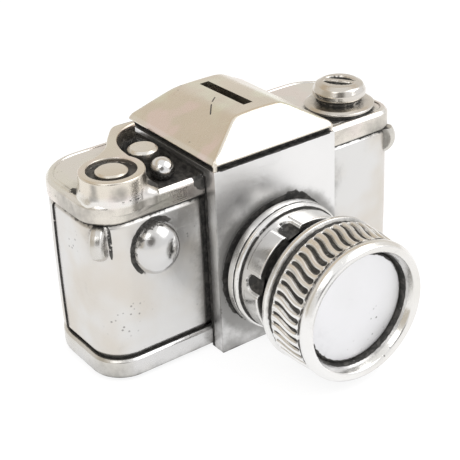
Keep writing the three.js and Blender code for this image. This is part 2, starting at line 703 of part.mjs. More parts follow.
// The aperture ring: thumb scallops are scooped out of its front edge.
function apertureRing() {
  const profile = [
    [NECK_RADIUS + SEAT, MOUNT_RING_DEPTH],
    [APERTURE_RING_RADIUS, MOUNT_RING_DEPTH],
    [APERTURE_RING_RADIUS, apertureFront - 0.6],
    [APERTURE_RING_RADIUS - 0.6, apertureFront],
    [NECK_RADIUS + SEAT, apertureFront],
  ];
  let ring = lensTurned(profile);
  for (let i = 0; i < SCALLOP_COUNT; i++) {
    const angle = THREE.MathUtils.degToRad(SCALLOP_PHASE) + (i / SCALLOP_COUNT) * 2 * Math.PI;
    const scoop = new THREE.CylinderGeometry(SCALLOP_RADIUS, SCALLOP_RADIUS, 8, SMALL);
    scoop.translate(0, APERTURE_RING_RADIUS - SCALLOP_DEPTH + 4, 0);
    scoop.rotateX(Math.PI / 2);
    scoop.rotateY(angle);
    scoop.translate(0, housingFrontY - apertureFront + SCALLOP_SET_BACK, LENS_AXIS_HEIGHT);
    ring = ring.subtract(solidFrom(scoop));
  }
  return ring;
}

function lensNeck() {
  const inner = NECK_RADIUS - WALL;
  const profile = [
    [BOLT_RADIUS + SEAT, neckFront - WALL],
    [inner, neckFront - WALL],
    [inner, 0],
    [NECK_RADIUS, 0],
    [NECK_RADIUS, focusRear - NECK_COLLAR - END_PLAY],
    [NECK_RADIUS + 2, focusRear - NECK_COLLAR - END_PLAY],
    [NECK_RADIUS + 2, focusRear - END_PLAY],
    [NECK_RADIUS, focusRear - END_PLAY],
    [NECK_RADIUS, neckFront],
    [BOLT_RADIUS + SEAT, neckFront],
  ];
  return lensTurned(profile);
}

// Its edge lies halfway between the neck and the focus ring's sleeve.
function retainingRing() {
  const radius = (NECK_RADIUS + sleeveInner) / 2;
  return lensTurned(tube(BOLT_RADIUS + SEAT, radius, neckFront, neckFront + WASHER_THICKNESS));
}

function lensTieBolt() {
  const headRear = neckFront + WASHER_THICKNESS;
  const tail = panelFrontY + WALL + WASHER_THICKNESS + NUT_HEIGHT + BOLT_TAIL;
  const end = housingFrontY - tail;
  const profile = [
    [0, end],
    [BOLT_RADIUS, end],
    [BOLT_RADIUS, headRear],
    [BOLT_HEAD_RADIUS, headRear],
    [BOLT_HEAD_RADIUS, headRear + BOLT_HEAD_HEIGHT - 1],
    [BOLT_HEAD_RADIUS - 1, headRear + BOLT_HEAD_HEIGHT],
    [0, headRear + BOLT_HEAD_HEIGHT],
  ];
  const front = housingFrontY - headRear - BOLT_HEAD_HEIGHT;
  const [low, high] = [LENS_AXIS_HEIGHT - 0.6, LENS_AXIS_HEIGHT + 0.6];
  const drive = block(-BOLT_HEAD_RADIUS, BOLT_HEAD_RADIUS, front, front + 1.4, low, high);
  return lensTurned(profile, COARSE).subtract(drive);
}

function boltWasher() {
  const rear = housingFrontY - (panelFrontY + WALL + WASHER_THICKNESS);
  return lensTurned(tube(BOLT_RADIUS + SEAT, WASHER_RADIUS, rear, rear + WASHER_THICKNESS), COARSE);
}

function boltNut() {
  const rear = housingFrontY - (panelFrontY + WALL + WASHER_THICKNESS + NUT_HEIGHT);
  const nut = lensTurned(rod(NUT_ACROSS_CORNERS / 2, rear, rear + NUT_HEIGHT), 6);
  return nut.subtract(lensTurned(rod(BOLT_RADIUS + SEAT, rear - 1, rear + NUT_HEIGHT + 1), COARSE));
}

// The focus ring runs on the neck: a thin flange, a groove, then the ribbed grip.
function focusRing() {
  const webFront = focusRear + HUB_WEB;
  const flangeFront = focusRear + FLANGE_DEPTH;
  const profile = [
    [NECK_RADIUS + RUNNING, focusRear],
    [FLANGE_RADIUS - 0.5, focusRear],
    [FLANGE_RADIUS, focusRear + 0.6],
    [FLANGE_RADIUS, flangeFront - 0.6],
    [FLANGE_RADIUS - FLANGE_GROOVE_DEPTH, flangeFront],
    [FLANGE_RADIUS - FLANGE_GROOVE_DEPTH, ribbedRear],
    [RIBBED_REAR_RADIUS, ribbedRear + 1],
    [RIBBED_REAR_RADIUS - 0.5, ribbedRear + 0.5 * RIBBED_LENGTH],
    [RIBBED_FRONT_RADIUS, bezelRear],
    [sleeveInner, bezelRear],
    [sleeveInner, webFront],
    [NECK_RADIUS + RUNNING, webFront],
  ];
  return lensTurned(profile);
}

// The bezel: a half-round rim, with a ledge behind it for the front disc.
function frontBezel() {
  const ledge = FRONT_DISC_RADIUS - 1.4;
  const crest = (BEZEL_RADIUS + BEZEL_OPENING_RADIUS) / 2;
  const profile = [
    [ledge, discRear - 2],
    [sleeveInner - SEAT, discRear - 2],
    [sleeveInner - SEAT, bezelRear],
    [RIBBED_FRONT_RADIUS, bezelRear],
    [BEZEL_RADIUS, bezelRear + 0.4 * BEZEL_DEPTH],
    [BEZEL_RADIUS - 0.5, bezelRear + 0.72 * BEZEL_DEPTH],
    [BEZEL_RADIUS - 1.5, bezelFront - 0.4],
    [crest, bezelFront],
    [BEZEL_OPENING_RADIUS + 0.6, bezelFront - 1.1],
    [BEZEL_OPENING_RADIUS, bezelFront - 2.4],
    [BEZEL_OPENING_RADIUS, discRear],
    [ledge, discRear],
  ];
  return lensTurned(profile);
}

function frontDisc() {
  const profile = [
    [0, discRear],
    [FRONT_DISC_RADIUS, discRear],
    [FRONT_DISC_RADIUS, discRear + 0.8],
    [0.6 * FRONT_DISC_RADIUS, discRear + 0.8 * FRONT_DISC_THICKNESS],
    [0, discRear + FRONT_DISC_THICKNESS],
  ];
  return lensTurned(profile);
}

// ---- Materials and the assembly ---------------------------------------------------------------
function metal(color, roughness) {
  return new THREE.MeshStandardMaterial({ color, roughness, metalness: 1 });
}

const SILVER = metal(0xd6d1c8, 0.26);
const WARM_SILVER = metal(0xd8cdb9, 0.3);
const DARK_SILVER = metal(0x4a4642, 0.5);
const SATIN_SILVER = metal(0xe6e4e4, 0.42);
const STEEL = metal(0xa9abad, 0.4);
const RUBBER = new THREE.MeshStandardMaterial({ color: 0x1d1c1b, roughness: 0.85, metalness: 0 });

const pieces = {
  front_shell: [frontShell(), SILVER],
  rear_cover: [rearCover(), SILVER],
  base_plate: [basePlate(), SILVER],
  top_plate: [topPlate(), WARM_SILVER],
  lens_housing: [lensHousing(), SILVER],
  prism_cap: [prismCap(), WARM_SILVER],
  eyepiece_frame: [eyepieceFrame(), SILVER],
  wind_hub_disc: [windHubDisc(), WARM_SILVER],
  speed_dial: [speedDial(), WARM_SILVER],
  shutter_button: [shutterButton(), SILVER],
  rewind_collar: [rewindCollar(), SILVER],
  rewind_knob: [rewindKnob(), WARM_SILVER],
  grip_dome: [gripDome(), SILVER],
  strap_lug_left: [strapLug(CORNERS[0], DECK_TOP - GRIP_LUG_BELOW_DECK), SILVER],
  strap_lug_right: [strapLug(CORNERS[1], DECK_TOP - REWIND_LUG_BELOW_DECK), SILVER],
  mount_ring: [mountRing(), SILVER],
  aperture_ring: [apertureRing(), SILVER],
  lens_neck: [lensNeck(), DARK_SILVER],
  retaining_ring: [retainingRing(), STEEL],
  focus_ring: [focusRing(), SILVER],
  front_bezel: [frontBezel(), SILVER],
  front_disc: [frontDisc(), SATIN_SILVER],
  lens_tie_bolt: [lensTieBolt(), STEEL],
  bolt_washer: [boltWasher(), STEEL],
  bolt_nut: [boltNut(), STEEL],
  coin_stopper: [coinStopper(), RUBBER],
};

postPlaces().forEach((place, i) => {
  pieces["base_screw_" + (i + 1)] = [baseScrew(place), STEEL];
});

const moneyBox = new THREE.Group();
for (const [name, [solid, material]] of Object.entries(pieces)) {
  const mesh = new THREE.Mesh(geometryFrom(solid), material);
  mesh.name = name;
  moneyBox.add(mesh);
}

export default moneyBox;
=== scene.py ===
"""Looks for the camera shaped money box: cast pieces in antiqued silver plate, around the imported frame.

Lengths are millimetres in the frame's own axes, and bare() turns each mesh into metres. The floor,
lights and camera are in metres.
"""

import math

import bmesh
import bpy
import numpy as np
from mathutils import Matrix, Vector


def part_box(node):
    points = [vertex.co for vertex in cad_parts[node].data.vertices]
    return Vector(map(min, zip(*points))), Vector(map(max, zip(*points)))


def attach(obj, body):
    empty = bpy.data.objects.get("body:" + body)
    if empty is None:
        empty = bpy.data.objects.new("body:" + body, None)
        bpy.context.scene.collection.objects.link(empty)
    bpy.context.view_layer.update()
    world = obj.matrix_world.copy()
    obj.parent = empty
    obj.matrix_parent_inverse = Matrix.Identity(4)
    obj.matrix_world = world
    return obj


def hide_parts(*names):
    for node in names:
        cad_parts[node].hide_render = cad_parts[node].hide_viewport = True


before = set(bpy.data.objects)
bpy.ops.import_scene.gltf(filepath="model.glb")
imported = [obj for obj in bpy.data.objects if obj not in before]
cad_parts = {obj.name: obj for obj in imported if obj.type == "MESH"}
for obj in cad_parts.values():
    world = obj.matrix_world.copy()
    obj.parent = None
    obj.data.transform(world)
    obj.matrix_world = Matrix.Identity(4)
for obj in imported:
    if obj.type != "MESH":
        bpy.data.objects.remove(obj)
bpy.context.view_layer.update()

MM = 0.001


# ---- Places from the frame -------------------------------------------------------------------
def corners(node):
    low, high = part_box(node)
    return np.array(low) / MM, np.array(high) / MM


def upright(node):
    """A round upright node's middle in plan, its radius, and its lowest and highest points."""
    low, high = corners(node)
    return (low[0] + high[0]) / 2, (low[1] + high[1]) / 2, (high[0] - low[0]) / 2, low[2], high[2]


base_low, base_high = corners("base_plate")
top_low, top_high = corners("top_plate")
shell_low, shell_high = corners("front_shell")
housing_low, housing_high = corners("lens_housing")
prism_high = corners("prism_cap")[1]
mount_low, mount_high = corners("mount_ring")
dome_low, dome_high = corners("grip_dome")

LEFT, RIGHT = base_low[0], base_high[0]
FRONT, REAR = base_low[1], base_high[1]
HALF_HOUSING = housing_high[0]
HOUSING_FRONT = housing_low[1]
PLINTH_REAR = housing_high[1]
BASE_TOP = base_high[2]
BAND_BOTTOM = shell_high[2]
HUB_TOP = top_high[2]
COVER_JOINT = shell_high[1]
LUG_BOTTOM = corners("strap_lug_left")[0][2]
KNOB_TOP = corners("rewind_knob")[1][2]
*REWIND, _, DECK, COLLAR_TOP = upright("rewind_collar")
LENS_HEIGHT = (mount_low[2] + mount_high[2]) / 2
LENS = (0.0, HOUSING_FRONT, LENS_HEIGHT)
MOUNT_RADIUS = mount_high[0]
DOME = (dome_low + dome_high) / 2

# Looks that the photograph asks for, a little off the CAD's own sizes.
DOME_SIZE = 1.05 * (dome_high - dome_low) / 2
BUTTON_SCALE = 1.14
REAR_PROUD = 0.6
PLINTH_TOP = housing_high[2] - 0.6
PRISM_BASE = 82.7

WALL = 2.0
PANEL = shell_low[1] - FRONT
BOLT_HOLE = 3.3
SCREWS = [f"base_screw_{i + 1}" for i in range(4)]
HUB = upright("wind_hub_disc")[:2]
HUB_RADIUS = HUB[1] - top_low[1]
WELL_RADIUS = 9.6
PIT_FLOOR = 75.0
PIT_FRONT = FRONT + 2.3
PIT_RIGHT = -HALF_HOUSING - 0.3
LEVER_REACH = -HALF_HOUSING - 3 - HUB[0]
LEVER_LENGTH = REAR - 6.6 - HUB[1]
FLANK_SLOPE = 0.685
FRONT_RUN = 11.2
REAR_RUN = 9.5
RIDGE_FALL = 1.3
WAIST = 2.2

# Casing corners in turn: which way each points, and its radius.
CORNERS = [(-1, -1, 14.0), (1, -1, 9.0), (1, 1, 20.0), (-1, 1, 20.0)]


def stations(node):
    """A lens node's outer radius, and how far in front of the housing's face it starts and ends."""
    low, high = corners(node)
    return (high[0] - low[0]) / 2, HOUSING_FRONT - high[1], HOUSING_FRONT - low[1]


# ---- Curves ----------------------------------------------------------------------------------
def rounded(points, closed=True, steps=4):
    """A polyline whose corners, given as (u, v, radius), become arcs."""
    made = []
    count = len(points)
    for i, point in enumerate(points):
        here = np.array(point[:2], float)
        radius = point[2] if len(point) > 2 else 0
        at_end = not closed and i in (0, count - 1)
        if radius <= 0 or at_end:
            made.append(here)
            continue
        back = np.array(points[i - 1][:2], float) - here
        ahead = np.array(points[(i + 1) % count][:2], float) - here
        long_back, long_ahead = np.linalg.norm(back), np.linalg.norm(ahead)
        back, ahead = back / long_back, ahead / long_ahead
        half = math.acos(np.clip(back @ ahead, -1, 1)) / 2
        if half > 1.5:
            made.append(here)
            continue
        reach = min(radius / math.tan(half), 0.49 * long_back, 0.49 * long_ahead)
        middle = back + ahead
        centre = here + middle / np.linalg.norm(middle) * reach / math.cos(half)
        start, end = here + back * reach - centre, here + ahead * reach - centre
        first = math.atan2(start[1], start[0])
        sweep = math.atan2(start[0] * end[1] - start[1] * end[0], start @ end)
        arc = reach * math.tan(half)
        for k in range(steps + 1):
            turn = first + sweep * k / steps
            made.append(centre + arc * np.array([math.cos(turn), math.sin(turn)]))
    return np.array(made)


def spaced(points, gap):
    """The same polyline with extra points, so that no stretch is longer than gap."""
    made = [points[0]]
    for here, there in zip(points[:-1], points[1:]):
        count = max(1, int(math.ceil(np.linalg.norm(there - here) / gap)))
        made += [here + (there - here) * (k + 1) / count for k in range(count)]
    return np.array(made)


def spline(points, per=8):
    """A smooth curve through points."""
    p = [np.array(q, float) for q in points]
    p = [2 * p[0] - p[1]] + p + [2 * p[-1] - p[-2]]
    made = []
    for i in range(1, len(p) - 2):
        for k in range(per):
            t = k / per
            a = 2 * p[i]
            b = (p[i + 1] - p[i - 1]) * t
            c = (2 * p[i - 1] - 5 * p[i] + 4 * p[i + 1] - p[i + 2]) * t * t
            d = (-p[i - 1] + 3 * p[i] - 3 * p[i + 1] + p[i + 2]) * t ** 3
            made.append((a + b + c + d) / 2)
    made.append(p[-2])
    return np.array(made)


def inset_loop(loop, distance):
    """A closed anticlockwise loop moved inwards by distance."""
    ahead = np.roll(loop, -1, axis=0) - loop
    ahead /= np.linalg.norm(ahead, axis=1)[:, None]
    back = np.roll(ahead, 1, axis=0)
    normal = np.stack([-(ahead + back)[:, 1], (ahead + back)[:, 0]], axis=1)
    normal /= np.linalg.norm(normal, axis=1)[:, None]
    lean = np.clip((normal * np.stack([-ahead[:, 1], ahead[:, 0]], axis=1)).sum(axis=1), 0.5, 1)
    return loop + normal * (distance / lean)[:, None]


def arc_points(corner, inset, start, end, steps=14):
    way_x, way_y, radius = corner
    centre_x = (RIGHT if way_x > 0 else LEFT) - way_x * radius
    centre_y = (REAR if way_y > 0 else FRONT) - way_y * radius
    turns = np.linspace(start, end, steps + 1)
    reach = radius - inset
    return np.stack([centre_x + reach * np.cos(turns), centre_y + reach * np.sin(turns)], axis=1)


def casing_loop(inset):
    starts = [math.pi * (1 + i / 2) for i in range(4)]
    return np.vstack([arc_points(c, inset, t, t + math.pi / 2) for c, t in zip(CORNERS, starts)])


def joint_angle(inset):
    """Where the rear corners' arcs cross the joint between the two shells."""
    radius = CORNERS[2][2]
    return math.asin((COVER_JOINT - (REAR - radius)) / (radius - inset))


# Beside the housing the panel rolls back into a groove: x from the housing's side, extra inset.
PANEL_ROLL = [(5.0, 0.0), (3.2, 0.05), (2.3, 0.3), (1.5, 0.8), (0.8, 1.2), (-1.0, 1.3)]


def front_path(inset):
    turn = joint_angle(inset)
    left = arc_points(CORNERS[3], inset, math.pi - turn, math.pi, 3)
    grip = arc_points(CORNERS[0], inset, math.pi, 1.5 * math.pi)
    y = FRONT + inset
    roll_in = [(-HALF_HOUSING - away, y + extra) for away, extra in PANEL_ROLL]
    roll_out = [(HALF_HOUSING + away, y + extra) for away, extra in reversed(PANEL_ROLL)]
    rewind = arc_points(CORNERS[1], inset, 1.5 * math.pi, 2 * math.pi)
    right = arc_points(CORNERS[2], inset, 0, turn, 3)
    return np.vstack([left, grip, roll_in, roll_out, rewind, right])


def rear_path(inset):
    turn = joint_angle(inset)
    right = arc_points(CORNERS[2], inset, turn, 0.5 * math.pi)
    left = arc_points(CORNERS[3], inset, 0.5 * math.pi, math.pi - turn)
    return np.vstack([right, left])


def smooth(value):
    value = np.clip(value, 0, 1)
    return value * value * (3 - 2 * value)


def wrapped(angle, period):
    return (angle + period / 2) % period - period / 2


# ---- Meshes ----------------------------------------------------------------------------------
def with_height(loop, height):
    return np.column_stack([loop, np.full(len(loop), height)])


def loft(rings, closed=True, caps=True):
    """Joins rings of equally many points with quads, and caps the first and the last."""
    count = len(rings[0])
    faces = []
    for i in range(len(rings) - 1):
        for j in range(count if closed else count - 1):
            k = (j + 1) % count
            faces.append((i * count + j, i * count + k, (i + 1) * count + k, (i + 1) * count + j))
    if caps:
        faces.append(tuple(range(count))[::-1])
        faces.append(tuple((len(rings) - 1) * count + j for j in range(count)))
    return np.vstack(rings), faces


def swept(section, path):
    """A closed section of (inset, height) points, carried along an open path of the casing."""
    lines = [with_height(path(inset), height) for inset, height in section]
    rings = [np.array([line[i] for line in lines]) for i in range(len(lines[0]))]
    return loft(rings)


def stacked(section, loop):
    """A solid whose outline follows the casing, with (inset, height) levels from bottom to top."""
    return loft([with_height(loop(inset), height) for inset, height in section])


def turned(points, centre, axis="up", segments=96, gap=None, steps=4, relief=None, closed=False):
    """A lathe solid from an outline of (radius, height, corner radius), whose stretches are no longer
    than gap. relief may move each of its points."""
    profile = rounded(points, closed, steps)
    if closed:
        profile = np.vstack([profile, profile[:1]])
    if gap:
        profile = spaced(profile, gap)
    rings = []
    for turn in np.arange(segments) * 2 * math.pi / segments:
        radius, height = profile[:, 0], profile[:, 1]
        if relief:
            radius, height = relief(radius, height, turn)
        across, along = radius * math.cos(turn), radius * math.sin(turn)
        ring = [across, along, height] if axis == "up" else [along, -height, across]
        rings.append(np.stack(ring, axis=1) + np.array(centre))
    return loft(rings + rings[:1], closed=False, caps=False)


def cuboid(low, high):
    x0, y0, z0 = low
    x1, y1, z1 = high
    ring = np.array([(x0, y0), (x1, y0), (x1, y1), (x0, y1)], float)
    return loft([with_height(ring, z0), with_height(ring, z1)])


def bare(name, shape):
    """A mesh object in metres from (vertices in millimetres, faces), closed and facing out."""
    verts, faces = shape
    mesh = bpy.data.meshes.new(name)
    mesh.from_pydata((np.asarray(verts) * MM).tolist(), [], faces)
    body = bmesh.new()
    body.from_mesh(mesh)
    bmesh.ops.remove_doubles(body, verts=body.verts, dist=2e-7)
    bmesh.ops.dissolve_degenerate(body, edges=body.edges, dist=1e-7)
    bmesh.ops.recalc_face_normals(body, faces=body.faces)
    body.to_mesh(mesh)
    body.free()
    piece = bpy.data.objects.new(name, mesh)
    bpy.context.scene.collection.objects.link(piece)
    return piece


def settle(piece):
    """Applies the piece's modifiers."""
    bpy.context.view_layer.update()
    graph = bpy.context.evaluated_depsgraph_get()
    mesh = bpy.data.meshes.new_from_object(piece.evaluated_get(graph))
    old = piece.data
    piece.modifiers.clear()
    piece.data = mesh
    bpy.data.meshes.remove(old)


def combine(piece, other, operation):
    """Joins or cuts piece with another mesh object, which is then removed."""
    step = piece.modifiers.new("step", "BOOLEAN")
    step.solver = "EXACT"
    step.operation = operation
    step.object = other
    settle(piece)
    bpy.data.objects.remove(other)


def cut(piece, *shapes):
    for shape in shapes:
        combine(piece, bare("cutter", shape), "DIFFERENCE")


def bevelled(piece, width, segments=3, angle=40):
    step = piece.modifiers.new("bevel", "BEVEL")
    step.width = width * MM
    step.segments = segments
    step.limit_method = "ANGLE"
    step.angle_limit = math.radians(angle)
    settle(piece)


def spin(piece, centre, degrees):
    """Turns a piece's mesh about the upright line through centre."""
    place = Matrix.Translation([c * MM for c in centre])
    piece.data.transform(place @ Matrix.Rotation(math.radians(degrees), 4, "Z") @ place.inverted())


def finished(piece, node, material, sharp=35, body="casing"):
    """Gives a made piece its shading, material, body and the CAD node that it stands for."""
    piece.name = node + "_casting" if body != "stopper" else node + "_moulding"
    mesh = piece.data
    mesh.shade_smooth()
    mesh.set_sharp_from_angle(angle=math.radians(sharp))
    mesh.materials.clear()
    mesh.materials.append(material)
    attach(piece, body)
    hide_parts(node)
    return piece


# ---- Shader nodes ----------------------------------------------------------------------------
def connect(socket, value):
    """Links a Value to an input, or sets a plain number on it."""
    if isinstance(value, Value):
        socket.id_data.links.new(value.socket, socket)
    else:
        socket.default_value = value


def feed(node, **inputs):
    for key, value in inputs.items():
        connect(node.inputs[key.replace("_", " ")], value)
    return node


def add(tree, kind, settings=None, **inputs):
    node = tree.nodes.new("ShaderNode" + kind)
    for key, value in (settings or {}).items():
        setattr(node, key, value)
    return feed(node, **inputs)


class Value:
    """What comes out of a shader node. Arithmetic on it adds Math nodes to its tree."""
    # Numpy's numbers leave their arithmetic with a Value to this class.
    __array_ufunc__ = None

    def __init__(self, socket):
        self.socket = socket
        self.tree = socket.id_data

    def maths(self, operation, a, b=0.0, clamp=False):
        node = add(self.tree, "Math", {"operation": operation, "use_clamp": clamp})
        connect(node.inputs[0], a)
        connect(node.inputs[1], b)
        return Value(node.outputs[0])

    def __add__(self, other):
        return self.maths("ADD", self, other)

    def __sub__(self, other):
        return self.maths("SUBTRACT", self, other)

    def __rsub__(self, other):
        return self.maths("SUBTRACT", other, self)

    def __mul__(self, other):
        return self.maths("MULTIPLY", self, other)

    def __truediv__(self, other):
        return self.maths("DIVIDE", self, other)

    def __abs__(self):
        return self.maths("ABSOLUTE", self)

    __radd__ = __add__

    def ramp(self, low, high, to_high=1.0, to_low=0.0):
        """Goes smoothly from to_low at low to to_high at high."""
        node = add(self.tree, "MapRange", {"interpolation_type": "SMOOTHSTEP"}, Value=self,
                   From_Min=low, From_Max=high, To_Min=to_low, To_Max=to_high)
        return Value(node.outputs[0])

    def between(self, low, high, soft):
        """One from low to high, and fading to nothing over soft on either side."""
        return self.ramp(low - soft, low) * self.ramp(high + soft, high)

    def mix(self, a, b):
        """A colour between a and b, by this share."""
        node = add(self.tree, "Mix", {"data_type": "RGBA"})
        for key, value in ((0, self), (6, a), (7, b)):
            connect(node.inputs[key], value if isinstance(value, Value) else (*value, 1.0))
        return Value(node.outputs[2])


def noise(place, scale, detail=3.0, roughness=0.55, stretch=None):
    if stretch:
        place = Value(add(place.tree, "Mapping", Vector=place, Scale=stretch).outputs[0])
    node = add(place.tree, "TexNoise", Vector=place, Scale=scale, Detail=detail, Roughness=roughness)
    return Value(node.outputs[0])


def hidden(place, reach):
    """How much of its surroundings within reach, in millimetres, shuts a place in."""
    node = add(place.tree, "AmbientOcclusion", {"samples": 8}, Distance=reach * MM)
    return 1.0 - Value(node.outputs["AO"])


def axes(place):
    """The place's x, y and z in millimetres."""
    return [Value(axis) * (1 / MM) for axis in add(place.tree, "SeparateXYZ", Vector=place).outputs]


def either(*masks):
    """The highest of some masks. Masks are multiplied where both have to hold."""
    made = masks[0]
    for mask in masks[1:]:
        made = made.maths("MAXIMUM", made, mask)
    return made


def distance(a, b, centre_a, centre_b, width=1.0, height=1.0):
    """How far (a, b) is from a centre, in half widths and half heights."""
    across, along = (a - centre_a) / width, (b - centre_b) / height
    square = across * across + along * along
    return square.maths("SQRT", square)


def new_material(name):
    """A material, its shader and the place on the object."""
    material = bpy.data.materials.new(name)
    material.use_nodes = True
    place = Value(add(material.node_tree, "TexCoord").outputs["Object"])
    return material, material.node_tree.nodes["Principled BSDF"], place


def bumped(height, strength, depth):
    """The normal of a surface with this relief, whose depth is in millimetres."""
    return Value(add(height.tree, "Bump", Height=height, Strength=strength, Distance=depth * MM).outputs[0])


# ---- Materials -------------------------------------------------------------------------------
BLACKENED = (0.040, 0.039, 0.037)
GREYED = (0.105, 0.10, 0.093)
# Grey for the painted shade beside the recesses, and for random tarnish and pits.
SHADE_TARNISH_AND_PIT_GREY = (0.20, 0.195, 0.185)
PINK_TARNISH = (0.83, 0.71, 0.70)
GREEN_TARNISH = (0.77, 0.78, 0.66)
# How far round a place the painted shade looks for nearby parts and the floor, in millimetres.
SHADE_REACH = 11.0


def silver(name, tint, warm, soot_and_shadow=None, stain_and_shade=None, pitted=None, shade_and_tarnish_strength=1.0, rough=0.2, rainbow=0.0,
           reach=3.2, warmer=None):
    """Antiqued silver plate: bright on the high places, blackened in the recesses, with grey beside
    them that is partly painted shade, laid where nearby parts and the floor close a place in, and
    partly random tarnish blotches; faint coloured tarnish, fine scratches and pits. soot, stain,
    pitted and warmer are functions that give more blackened, grey, pitted and yellow places; the
    disc's blackened edge and the housing face's grey towards the grip among them are painted shade."""
    material, shader, place = new_material(name)
    here = axes(place)
    blotch = noise(place, 55.0, 4.0)
    speckle = noise(place, 420.0, 5.0, 0.65)
    grit = noise(place, 1500.0, 3.0, 0.6)

    hollow = hidden(place, reach)
    if soot_and_shadow:
        hollow = either(hollow, soot_and_shadow(*here) * 0.85)
    broken = (speckle - 0.5) * 1.5 + (blotch - 0.5) * 0.7
    black = (hollow + broken).ramp(0.4, 0.6)

    # Painted shade: grey wherever nearby parts or the floor close a place in within the wider reach, mixed
    # with random tarnish blotches and with the extra places that the stain function gives.
    shade = hidden(place, SHADE_REACH) + ((blotch - 0.5) * 1.1 + broken * 0.25)
    if stain_and_shade:
        shade = shade + stain_and_shade(*here)
    shade_and_tarnish = shade.ramp(0.12, 0.8) * (0.75 * shade_and_tarnish_strength)

    cells = add(place.tree, "TexVoronoi", {"feature": "F1"}, Vector=place, Scale=420.0)
    gate = noise(place, 45.0, 2.0).ramp(0.6, 0.7)
    if pitted:
        gate = either(gate, pitted(*here))
    pit = Value(cells.outputs["Distance"]).ramp(0.24, 0.12) * gate

    scratched = noise(place, 60.0, 2.0, 0.5, (1.0, 14.0, 26.0)).ramp(0.62, 0.7)
    scratched += noise(place, 60.0, 2.0, 0.5, (22.0, 1.6, 9.0)).ramp(0.63, 0.7)

    warmth = warmer(*here) if warmer else noise(place, 26.0).ramp(0.4, 0.62)
    clean = warmth.mix(tint, warm)
    if rainbow:
        hue = noise(place, 60.0, 2.0, 0.5)
        pink = hue.ramp(0.47, 0.36, rainbow).mix(clean, PINK_TARNISH)
        clean = hue.ramp(0.54, 0.66, rainbow).mix(pink, GREEN_TARNISH)
    marked = (pit * 0.8).mix(shade_and_tarnish.mix(clean, SHADE_TARNISH_AND_PIT_GREY), SHADE_TARNISH_AND_PIT_GREY)
    oxide = speckle.ramp(0.42, 0.62).mix(BLACKENED, GREYED)

    worn = rough + (blotch - 0.4) * 0.18 + scratched * 0.06 + shade_and_tarnish * 0.2
    relief = grit * 0.25 + speckle * 0.5 - scratched * 0.16 - pit * 0.6 + blotch * 2.4
    feed(shader, Base_Color=black.mix(marked, oxide), Metallic=1.0 - black * 0.55,
         Roughness=worn.maths("ADD", worn, black * 0.3, clamp=True), Normal=bumped(relief, 0.5, 0.12))
    return material


def plain(name, colour, rough, metallic=0.0, grain=900.0):
    """A material with grain in its colour, roughness and relief."""
    material, shader, place = new_material(name)
    cloud = noise(place, grain, 4.0)
    darker = [0.72 * c for c in colour]
    feed(shader, Base_Color=cloud.ramp(0.35, 0.65).mix(darker, colour), Metallic=metallic,
         Roughness=cloud.ramp(0.3, 0.7, rough + 0.12, rough), Normal=bumped(cloud, 0.4, 0.1))
    return material


# ---- Where the silver is blackened, smoky, pitted or yellow, or carries painted shade, in millimetres ---
def on_front(y):
    return y.ramp(FRONT + 8, FRONT + 4)


def on_face(y):
    return y.ramp(HOUSING_FRONT + 1.0, HOUSING_FRONT + 0.3)


def from_dome(x, z):
    return distance(x, z, DOME[0], DOME[2], DOME_SIZE[0], DOME_SIZE[2])


def from_lens(x, z):
    return distance(x, z, 0.0, LENS_HEIGHT)


def from_front_corner(x, y):
    return distance(abs(x), y, HALF_HOUSING, HOUSING_FRONT)


def in_pit(x, y):
    """Between the hub, the pit's front rim, the housing and the lever."""
    before_lever = (x - HUB[0]) * (1 / LEVER_REACH) - (y - HUB[1]) * (1 / LEVER_LENGTH)
    inside = x.between(HUB[0] + 9, PIT_RIGHT + 0.5, 2.0) * y.ramp(PIT_FRONT - 0.2, PIT_FRONT + 0.3)
    return inside * before_lever.ramp(-0.25, -0.18)


def panel_soot(x, y, z):
    """Along the bands, beside the housing, in the joint, round the dome's upper left and by the lug."""
    low_line = z.between(BASE_TOP - 1, BASE_TOP + 0.9, 1.3)
    high_line = z.between(BAND_BOTTOM - 0.45, BAND_BOTTOM + 1, 0.9)
    housing_line = on_front(y) * abs(x).ramp(HALF_HOUSING + 3.0, HALF_HOUSING + 1.4)
    joint = y.between(COVER_JOINT - 0.3, COVER_JOINT + 0.3, 0.5) * 0.9
    side = (z - DOME[2]) * 0.75 - (x - DOME[0])
    moat = from_dome(x, z).between(0.93, 1.1, 0.1) * side.ramp(-7, 4) * on_front(y)
    by_lug = distance(x, z, LEFT + 6.9, LUG_BOTTOM + 7.6, 0.7, 7.6).ramp(1.2, 0.8, 0.8)
    by_lug *= y.ramp(FRONT + 14, FRONT + 9)
    return either(low_line, high_line, housing_line, joint, moat, by_lug)


def panel_stain(x, y, z):
    """Grey towards the housing."""
    return abs(x).ramp(HALF_HOUSING + 16, HALF_HOUSING, 0.22) * on_front(y)


def panel_pits(x, y, z):
    """The lower left of the grip panel."""
    return distance(x, z, LEFT + 10.0, 28.0, 12.0, 9.0).ramp(1.1, 0.5, 0.9) * on_front(y)


def dome_soot(x, y, z):
    """Speckled blackening up the dome's upper left edge."""
    side = (z - DOME[2]) - (x - DOME[0])
    return from_dome(x, z).ramp(0.74, 1.0, 0.62) * side.ramp(-1, 8)


